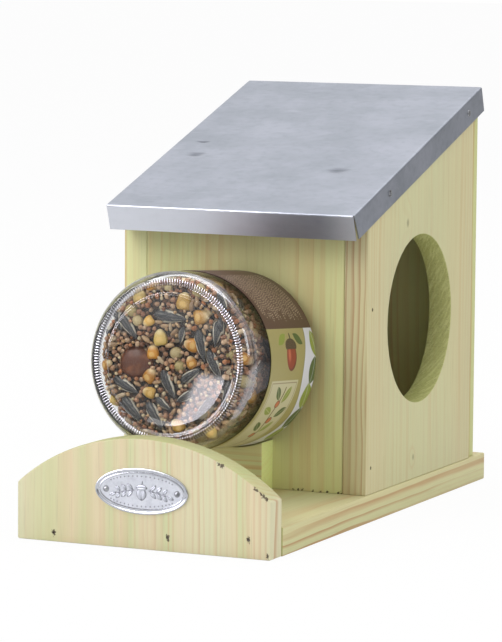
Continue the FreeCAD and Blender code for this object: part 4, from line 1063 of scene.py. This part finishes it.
def labelFinish():
    finish = Finish("labelPaper", slot="label_paper", Roughness=0.42)
    spot = finish.node("ShaderNodeUVMap", {"uv_map": "print"})
    u, v = finish.split(spot)[:2]                       # millimetres round and along the jar
    tones = {key: paint(value) for key, value in label["tones"].items()}
    speck = finish.noise(u * 2.2, v * 2.2, 0.5)

    def turned(middleU, middleV, turn):
        c, s = math.cos(math.radians(turn)), math.sin(math.radians(turn))
        return (u - middleU) * c + (v - middleV) * s, (v - middleV) * c - (u - middleU) * s

    # Both of these are 1 at the edge of the shape and less inside
    def oval(middleU, middleV, long, wide, turn=0.0):
        p, q = turned(middleU, middleV, turn)
        return ((p / long) ** 2 + (q / wide) ** 2).root()

    def blade(middleU, middleV, long, wide, turn=0.0):
        p, q = turned(middleU, middleV, turn)
        return (q / wide).size() + (p / long) ** 2

    colour = finish.mix(speck.step(0.35, 0.7) * 0.3, tones["brown"], tones["brownLight"])
    # Rows of small grains with ragged ends
    row = v / 1.72
    rowed = row.fraction() - 0.5
    line = row - row.fraction()
    shift = finish.noise(line * 3.7, 0.3, 0.0, 0.0)
    cell = (u / 1.45 + shift * 40).fraction() - 0.5
    seed = ((cell * 1.25) ** 2 + (rowed * 1.7) ** 2).root().step(0.50, 0.34)
    gaps = finish.noise(u * 0.55 + shift * 30, line * 5.1, 2.0, 1.0).step(0.36, 0.44)
    ends = (u + shift * 16).step(-19.0, -19.6) * u.step(-64.0, -62.0)
    block = v.step(3.0, 3.4) * v.step(53.0, 52.6)
    strong = finish.noise(line * 5.3, 8.1, 0.0, 0.0).step(0.45, 0.75) * 0.35 + 0.62
    colour = finish.mix(seed * gaps * ends * block * strong, colour, tones["grain"])
    # Olive field
    lower = u.step(label["field"] - 0.15, label["field"] + 0.15)
    olive = finish.mix(speck.step(0.4, 0.7) * 0.3, tones["olive"], tones["oliveLight"])
    colour = finish.mix(lower, colour, olive)
    # Acorn over two leaves: nut with a light side, scaly cap and stalk
    for middleV, turn, tone in ((16.5, 118, "leafLime"), (37.5, 62, "leafDark")):
        colour = finish.mix(blade(-14.0, middleV, 6.4, 2.7, turn).step(1.0, 0.9), colour, tones[tone])
    nut = oval(-4.6, 27.0, 8.4, 6.6)
    skin = finish.mix(oval(-5.5, 24.4, 5.6, 2.2).step(1.1, 0.2) * 0.75, tones["nut"], tones["nutLight"])
    skin = finish.mix(oval(-5.4, 26.2, 9.0, 7.2).step(0.72, 1.0) * 0.6, skin, tones["nutDark"])
    colour = finish.mix(nut.step(1.0, 0.93), colour, skin)
    scales = ((u + v) / 1.7).fraction().step(0.3, 0.5) * ((u - v) / 1.7).fraction().step(0.3, 0.5)
    capped = oval(-10.2, 27.0, 4.4, 7.4).step(1.0, 0.93) * u.step(-8.2, -8.7)
    colour = finish.mix(capped, colour, finish.mix(scales * 0.6, tones["cap"], tones["capLight"]))
    colour = finish.mix(oval(-15.6, 27.3, 2.2, 0.8, 8).step(1.0, 0.8), colour, tones["cap"])
    # Pale panel with a sprig
    panel = u.step(8.4, 8.8) * v.step(3.4, 3.8) * v.step(38.6, 38.2)
    colour = finish.mix(panel, colour, tones["cream"])
    edge = u.step(9.6, 9.8) * v.step(4.6, 4.8) * v.step(37.4, 37.2)
    inner = u.step(10.2, 10.4) * v.step(5.2, 5.4) * v.step(36.8, 36.6)
    colour = finish.mix(edge * (1 - inner) * 0.6, colour, tones["frame"])
    stem = (v - 22.5 - (u * 0.16).sine() * 2.2).size().step(0.75, 0.35) * u.step(12.0, 12.6)
    colour = finish.mix(stem * inner, colour, tones["stem"])
    for middleU, middleV, long, wide, turn, tone in label["sprig"]:
        shape = blade(middleU, middleV, long, wide, turn)
        vein = turned(middleU, middleV, turn)[1].size().step(0.35, 0.1)
        leafTone = finish.mix(vein * 0.6, tones[tone], tones["cream"])
        colour = finish.mix(shape.step(1.0, 0.9), colour, leafTone)
    for middleU, middleV in ((22.5, 21.0), (33.5, 23.5), (46.0, 22.0)):
        ball = oval(middleU, middleV, 2.5, 2.9)
        berry = finish.mix(ball.step(0.5, 1.0), tones["berryLight"], tones["berry"])
        colour = finish.mix(ball.step(1.0, 0.9), colour, berry)
    # White border with leaves along the rear edge, set off by a thin dark line
    border = v + (u * 0.115 + 0.9).sine() * 2.6 + 2.0
    colour = finish.mix(lower * border.step(47.6, 48.0), colour, tones["white"])
    outline = lower * border.step(47.0, 47.4) * border.step(48.0, 47.6)
    colour = finish.mix(outline * 0.6, colour, tones["leafDark"])
    for middleU, middleV, long, wide, turn, tone in label["leaves"]:
        shape = blade(middleU, middleV, long, wide, turn)
        vein = turned(middleU, middleV, turn)[1].size().step(0.45, 0.15)
        leafTone = finish.mix(vein * 0.5, tones[tone], tones["white"])
        colour = finish.mix(shape.step(1.0, 0.92) * lower, colour, leafTone)
    finish.feed("Base Color", colour)
    finish.bump(speck, 0.1, 0.0002)
    return finish


def makeLabel():
    bm = bmesh.new()
    low, high = label["start"], label["start"] + label["width"]
    rows = [(label["inner"], low), (label["outer"], low), (label["outer"], high), (label["inner"], high)]
    corners = [bm.verts.new((radius * mm, 0, height * mm)) for radius, height in rows]
    edges = [bm.edges.new((corners[index], corners[(index + 1) % 4])) for index in range(4)]
    half = math.radians(label["wrap"] / 2)
    bmesh.ops.rotate(bm, verts=corners, cent=(0, 0, 0), matrix=Matrix.Rotation(-half, 3, "Z"))
    spun = bmesh.ops.spin(bm, geom=corners + edges, cent=(0, 0, 0), axis=(0, 0, 1), angle=half * 2,
                          steps=120)
    last = [item for item in spun["geom_last"] if isinstance(item, bmesh.types.BMEdge)]
    bmesh.ops.contextual_create(bm, geom=edges)
    bmesh.ops.contextual_create(bm, geom=last)
    bmesh.ops.recalc_face_normals(bm, faces=bm.faces)
    places = bm.loops.layers.uv.new("print")
    for face in bm.faces:
        for loop in face.loops:
            x, y, z = loop.vert.co / mm
            turn = math.atan2(y, x)
            loop[places].uv = (turn * label["outer"], z - label["start"])
    bmesh.ops.transform(bm, matrix=jarAxes, verts=bm.verts)
    addPiece("jarLabel", bm, labelFinish(), "jar", ["jar_label"], 40)


# Feed: kernels of several kinds lie against the glass, two deep, over a dark rough core of painted shade.
# Sizes are half lengths in millimetres: along, across and thick.
feed = {
    "seed": 12,
    "reach": 45.3,           # radius of the feed
    "pitch": 17.0,           # between the larger kernels along the wall
    "lean": 35.0,
    "firstRow": 19.9,
    "wall": ("sunflower", "maize", "sunflower", "pea"),
    # scattered layers: tries, depth from the glass, how close kernels come, and the share of each kind
    "layers": (
        (700, 0.0, 0.95, {"sunflower": 5, "maize": 3, "pea": 2, "hazel": 0.25}),
        (16000, 0.0, 0.86, {"milo": 7, "wheat": 3}),
        (9000, 0.2, 0.84, {"millet": 1}),
        (16000, 2.6, 0.80, {"milo": 6, "wheat": 2, "sunflower": 0.3}),
    ),
    "kinds": {
        "sunflower": {"size": (8.4, 3.7, 2.1), "sides": (14, 9), "tones": ((255, 255, 255),)},
        "maize": {"size": (4.8, 4.3, 2.4), "sides": (14, 9),
                  "tones": ((204, 146, 46), (194, 130, 34), (212, 164, 68), (220, 188, 104))},
        "pea": {"size": (3.3, 3.2, 3.0), "sides": (12, 8), "tones": ((176, 158, 104), (196, 176, 128))},
        "milo": {"size": (1.45, 1.32, 1.25), "sides": (7, 5),
                 "tones": ((174, 128, 96), (150, 104, 74), (188, 146, 112), (200, 166, 134),
                           (134, 86, 58), (172, 108, 62))},
        "wheat": {"size": (2.7, 1.25, 1.2), "sides": (8, 5),
                  "tones": ((184, 150, 112), (164, 130, 94), (200, 176, 144))},
        "millet": {"size": (1.1, 1.05, 1.0), "sides": (6, 4), "tones": ((220, 198, 158), (190, 152, 108))},
        "hazel": {"size": (10.6, 9.8, 5.6), "sides": (30, 20), "tones": ((94, 47, 24),)},
    },
    # what shows through the base: kind, place across and down as parts of the feed's radius,
    # turn in degrees, size
    "shown": (
        ("hazel", -0.53, 0.04, 20, 1.0), ("maize", -0.20, -0.27, 80, 1.05),
        ("maize", 0.22, -0.21, 10, 1.0), ("maize", -0.32, 0.19, 120, 1.0),
        ("maize", 0.10, -0.72, 95, 1.15), ("maize", 0.33, -0.55, 165, 1.1),
        ("sunflower", -0.62, 0.33, 27, 1.1), ("sunflower", -0.06, 0.29, 63, 1.1),
        ("sunflower", 0.23, 0.15, -35, 0.95), ("sunflower", -0.62, -0.38, 51, 1.05),
        ("sunflower", -0.07, -0.53, 5, 1.25), ("sunflower", 0.54, 0.02, 62, 1.1),
        ("sunflower", -0.22, 0.67, 55, 1.1), ("sunflower", -0.53, 0.60, 46, 1.0),
        ("sunflower", 0.56, -0.38, 100, 1.0), ("sunflower", 0.70, 0.36, 97, 1.0),
        ("maize", 0.09, 0.76, 30, 0.9), ("sunflower", 0.42, 0.55, 130, 1.0), ("pea", 0.01, -0.10, 0, 1.1),
        ("pea", 0.07, 0.05, 0, 1.0), ("pea", 0.75, -0.12, 0, 0.9), ("maize", -0.31, 0.39, 15, 0.85),
        ("maize", 0.23, 0.0, 60, 0.8), ("maize", -0.29, -0.09, 85, 0.9),
        ("sunflower", 0.35, -0.20, 74, 1.1), ("sunflower", -0.11, 0.52, 35, 0.7),
        ("sunflower", 0.09, -0.31, 100, 0.6), ("sunflower", -0.76, -0.44, 70, 0.7),
        ("maize", 0.52, 0.80, 0, 0.8), ("sunflower", 0.60, -0.74, 60, 0.7),
        ("sunflower", 0.16, 0.42, 150, 0.8)),
}


# Inner face of the glass as a path from the middle of the base to the middle of the feed's top:
# radius and z
def feedPath():
    heel = jar["innerHeel"]
    rows = [(0, jar["floor"] + 0.4), (20, jar["floor"] + 0.3)]
    rows += arc(jarInner - heel, jar["floor"] + heel, heel, -90, 0, 6)
    rows += [(jarInner, jar["shoulder"][0]), (jarBore, jar["shoulder"][1]), (jarBore, 104), (0, 104)]
    return rows


# Point at a distance along such a path, as radius and z, and the direction inwards there
def pathPoint(rows, distance):
    for (r1, z1), (r2, z2) in zip(rows, rows[1:]):
        step = math.hypot(r2 - r1, z2 - z1)
        if distance <= step:
            part = distance / step
            return (r1 + (r2 - r1) * part, z1 + (z2 - z1) * part, -(z2 - z1) / step, (r2 - r1) / step)
        distance -= step


# Keeps kernels apart: large ones are compared with each other, small ones through cells
class Pile:
    def __init__(self):
        self.large = []
        self.cells = {}

    def cell(self, point):
        return tuple(int(value // 5) for value in point)

    def add(self, point, radius):
        self.large.append((point, radius))
        low = self.cell([value - radius - 3 for value in point])
        high = self.cell([value + radius + 3 for value in point])
        for i in range(low[0], high[0] + 1):
            for j in range(low[1], high[1] + 1):
                for k in range(low[2], high[2] + 1):
                    self.cells.setdefault((i, j, k), []).append((point, radius))

    def free(self, point, radius, tight):
        near = self.cells.get(self.cell(point), ()) if radius < 3 else self.large
        return all((point - other).length > (radius + reach) * tight for other, reach in near)


def kernel(kind):
    settings = feed["kinds"][kind]
    rings, sides = settings["sides"]
    bm = bmesh.new()
    bmesh.ops.create_uvsphere(bm, u_segments=rings, v_segments=sides, radius=1.0,
                              matrix=Matrix.Rotation(math.radians(90), 4, "Y"))
    spots = bm.verts.layers.float_vector.new("spot")
    bm.verts.layers.float_color.new("tone")
    long, wide, thick = settings["size"]
    for vert in bm.verts:
        vert[spots] = vert.co.copy()
        t = vert.co.x
        if kind == "sunflower":                          # drawn out to a point at one end
            width = 0.78 - 0.42 * t - 0.30 * t * t if t > -0.45 else 0.908
            vert.co.y *= width
            vert.co.z *= width
        elif kind == "maize":
            vert.co.y = math.copysign(abs(vert.co.y) ** 0.85, vert.co.y) * (0.90 + 0.24 * t)
            vert.co.z *= 1.0 - 0.2 * t
            if t > 0.7:
                vert.co.x -= (t - 0.7) * 0.7 * (1 - abs(vert.co.y))      # dent in the crown
        elif kind == "hazel":
            vert.co.x *= 1.06 if t > 0.8 else 1.0
        elif kind in ("milo", "millet"):
            vert.co.z *= 0.9 if vert.co.y > 0.2 else 1.05
            vert.co.y *= 1.0 - 0.14 * t
        elif kind == "wheat":
            vert.co.z *= 1.0 - 0.35 * math.exp(-(vert.co.y / 0.25) ** 2) * (1 if vert.co.z > 0 else 0)
        vert.co = Vector((vert.co.x * long, vert.co.y * wide, vert.co.z * thick))
    mesh = bpy.data.meshes.new(kind)
    bm.to_mesh(mesh)
    bm.free()
    return mesh


def kernelFinishes():
    finishes = {}
    for kind in feed["kinds"]:
        finish = Finish(kind + "Kernel", slot="nuts_and_seeds")
        tone = finish.attribute("tone")
        x, y, z = finish.split(finish.place())
        i, j, k = finish.split(finish.attribute("spot", "Vector"))
        fine = finish.noise(x * 1400, y * 1400, z * 1400, 3.0, 0.6)
        if kind == "sunflower":
            wander = (finish.noise(x * 500, y * 500, z * 500) - 0.5) * 0.35
            side = j.size() + wander
            stripe = side.step(0.62, 0.72) * side.step(0.98, 0.88)
            line = side.step(0.22, 0.27) * side.step(0.36, 0.31) * fine.step(0.35, 0.6)
            colour = finish.mix(fine.step(0.4, 0.8), paint((30, 30, 34)), paint((70, 70, 77)))
            colour = finish.mix(stripe.most(line * 0.35), colour, paint((196, 188, 172)))
        elif kind == "maize":
            colour = finish.mix(i.step(-0.1, -1.0) * 0.8, tone, paint((228, 212, 170)))
            heart = (((i - 0.25) * 1.3) ** 2 + j ** 2).root().step(0.55, 0.25)
            colour = finish.mix(heart * 0.6, colour, paint((226, 190, 120)))
            colour = finish.mix(fine.step(0.5, 0.8) * 0.25, colour, paint((168, 100, 36)))
        elif kind == "hazel":
            bars = finish.noise(i * 3, j * 14, k * 14)
            patch = finish.noise(x * 160, y * 160, z * 160, 3.0, 0.6)
            colour = finish.mix(bars.step(0.40, 0.70) * 0.6, tone, paint((74, 36, 18)))
            colour = finish.mix(patch.step(0.46, 0.70) * 0.7, colour, paint((150, 88, 50)))
            colour = finish.mix(i.step(-0.72, -0.82), colour, paint((176, 142, 108)))
        else:
            colour = finish.mix(fine.step(0.45, 0.75) * 0.35, tone, paint((126, 84, 54)))
        finish.feed("Base Color", colour)
        finish.feed("Roughness", (0.22 if kind in ("maize", "hazel") else 0.36) + fine * 0.25)
        finishes[kind] = finish
    return finishes


# Lays the kernels out, and gives the place and tone of each by kind
def layFeed():
    dice = random.Random(feed["seed"])
    pile = Pile()
    rows = feedPath()
    laid = {kind: [] for kind in feed["kinds"]}

    # Puts a kernel against a spot on the glass, depth millimetres in, where there is room
    def lay(kind, spot, inwards, ahead, size, depth, tight):
        long, wide, thick = [value * size for value in feed["kinds"][kind]["size"]]
        point = spot + inwards * (thick * 0.95 + 0.3 + depth)
        if long > wide * 1.5:
            balls = [(point + ahead * long * part, wide * 0.8) for part in (-0.6, 0.0, 0.6)]
        else:
            balls = [(point, (long + wide) / 2)]
        if kind == "hazel":
            balls.append((spot + inwards * 1.5, wide * 0.9))
        if tight and not all(pile.free(middle, reach, tight) for middle, reach in balls):
            return
        for middle, reach in balls:
            pile.add(middle, reach)
        axes = Matrix((ahead, inwards.cross(ahead), inwards)).transposed().to_4x4()
        roll, pitch = dice.uniform(-0.16, 0.16), dice.uniform(-0.08, 0.08)
        lean = Matrix.Rotation(roll, 4, "X") @ Matrix.Rotation(pitch, 4, "Y")
        place = jarAxes @ Matrix.Scale(mm, 4) @ Matrix.Translation(point) @ axes @ lean
        # Kernels of the deeper layer get painted shade: their tones are darkened to 0.6
        shade = dice.uniform(0.66, 1.06) * (0.6 if depth > 1 else 1.0)
        tone = tuple(value * shade for value in paint(dice.choice(feed["kinds"][kind]["tones"])))
        laid[kind].append((place @ Matrix.Scale(size, 4), tone))

    for kind, across, down, turn, size in feed["shown"]:
        spot = Vector((across * feed["reach"], down * feed["reach"], jar["floor"] + 0.35))
        turn = math.radians(turn)
        lay(kind, spot, Vector((0, 0, 1)), Vector((math.cos(turn), math.sin(turn), 0)), size, 0.0, 0)

    # Rows of larger kernels along the wall: the first all round, the others beside the label
    rings = int(2 * math.pi * feed["reach"] / feed["pitch"])
    for row in range(4):
        for step in range(rings):
            angle = 360 * (step + row % 2 / 2) / rings - 180
            if row > 0 and abs(angle) < label["wrap"] / 2:
                continue
            turn, lean = math.radians(angle), math.radians(feed["lean"] * (-1) ** step)
            out = Vector((math.cos(turn), math.sin(turn), 0))
            across = Vector((-out.y, out.x, 0))
            ahead = across * math.sin(lean) - Vector((0, 0, math.cos(lean)))
            spot = out * jarInner + Vector((0, 0, feed["firstRow"] + feed["pitch"] * row))
            lay(feed["wall"][(step + row) % 4], spot, -out, ahead, 1.0, 0.1, 0)

    # Scattered over the whole path: base, side up to the label and beside it, shoulder, neck and top
    length = sum(math.hypot(b[0] - a[0], b[1] - a[1]) for a, b in zip(rows, rows[1:]))
    covered = math.radians(label["wrap"] / 2 - 5)
    for tries, depth, tight, shares in feed["layers"]:
        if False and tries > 1000:
            tries = int(tries * 0.35)
        for attempt in range(tries):
            radius, z, inR, inZ = pathPoint(rows, dice.uniform(0, length))
            if dice.uniform(0, 46) > radius:
                continue
            turn = dice.uniform(-math.pi, math.pi)
            if label["start"] + 4 < z < label["start"] + label["width"] - 3 and abs(turn) < covered:
                continue
            out = Vector((math.cos(turn), math.sin(turn), 0))
            inwards = out * inR + Vector((0, 0, inZ))
            across = Vector((-out.y, out.x, 0))
            spin = dice.uniform(0, math.pi * 2)
            ahead = across * math.cos(spin) + inwards.cross(across) * math.sin(spin)
            kind = dice.choices(list(shares), list(shares.values()))[0]
            size = dice.uniform(0.72, 1.22)
            lay(kind, out * radius + Vector((0, 0, z)), inwards, ahead, size, depth, tight)
    return laid


# One piece for each kind, with a copy of the kernel at each of its places
def makeKernels(laid):
    finishes = kernelFinishes()
    for kind, places in laid.items():
        shape = kernel(kind)
        count = len(shape.vertices)
        bm = bmesh.new()
        for place, tone in places:
            one = shape.copy()
            one.transform(place)
            one.attributes["tone"].data.foreach_set("color", (*tone, 1.0) * count)
            bm.from_mesh(one)
            bpy.data.meshes.remove(one)
        bpy.data.meshes.remove(shape)
        addPiece(kind + "Kernels", bm, finishes[kind], "jar", (), 180)
        print(kind, len(places))


# Painted shade behind the kernels: a dark, crumbly core, the feed's outline drawn in by a few millimetres
def makeCore():
    depth = 4.2
    low, wide, narrow = jar["floor"] + depth, jarInner - depth, jarBore - depth
    rows = [(4.0 * step, low) for step in range(10)]
    rows += arc(wide - 5, low + 5, 5, -90, 0, 4)
    rows += [(wide, low + 5 + 3.9 * step) for step in range(1, 18)]
    rows += [(wide, 84.5), (38, 88.5), (narrow, 92.5), (narrow, 96), (narrow, 100)]
    rows += [(28, 101), (20, 101), (10, 101), (0, 101)]
    bm = lathe(rows, 96)
    middle = Vector((0, 0, 0.05))
    for vert in bm.verts:
        bump = noise.noise(vert.co * 420) * 0.0007
        vert.co += (vert.co - middle).normalized() * bump
    bmesh.ops.transform(bm, matrix=jarAxes, verts=bm.verts)
    finish = Finish("feedCore", slot="nuts_and_seeds", Roughness=0.8)
    x, y, z = finish.split(finish.place())
    crumbsInShade = finish.noise(x * 520, y * 520, z * 520, 3.0, 0.6)
    # Painted shade: near black to dark brown, for the shaded depths between the kernels
    stops = [(0.35, paint((14, 10, 8))), (0.55, paint((48, 33, 23))), (0.72, paint((82, 58, 40)))]
    finish.feed("Base Color", finish.ramp(crumbsInShade, *stops))
    finish.bump(crumbsInShade, 0.8, 0.001)
    addPiece("feedCore", bm, finish, "jar", ["seed_mix"], 60)


makeCamera(cameraSettings)
makeWorld(studio)
makeLamps(studio)
makeFloor(studio)
print("camera and studio made")
makeBase()
makeStopBoard()
makeSides()
makeUprights()
makeJarRest()
print("boards made")
makeRoof()
makeNails()
makePlate()
print("roof, nails and plate made")
makeGlass()
makeLabel()
makeCore()
makeKernels(layFeed())
print("jar and feed made")

bpy.context.scene.view_settings.view_transform = "Standard"
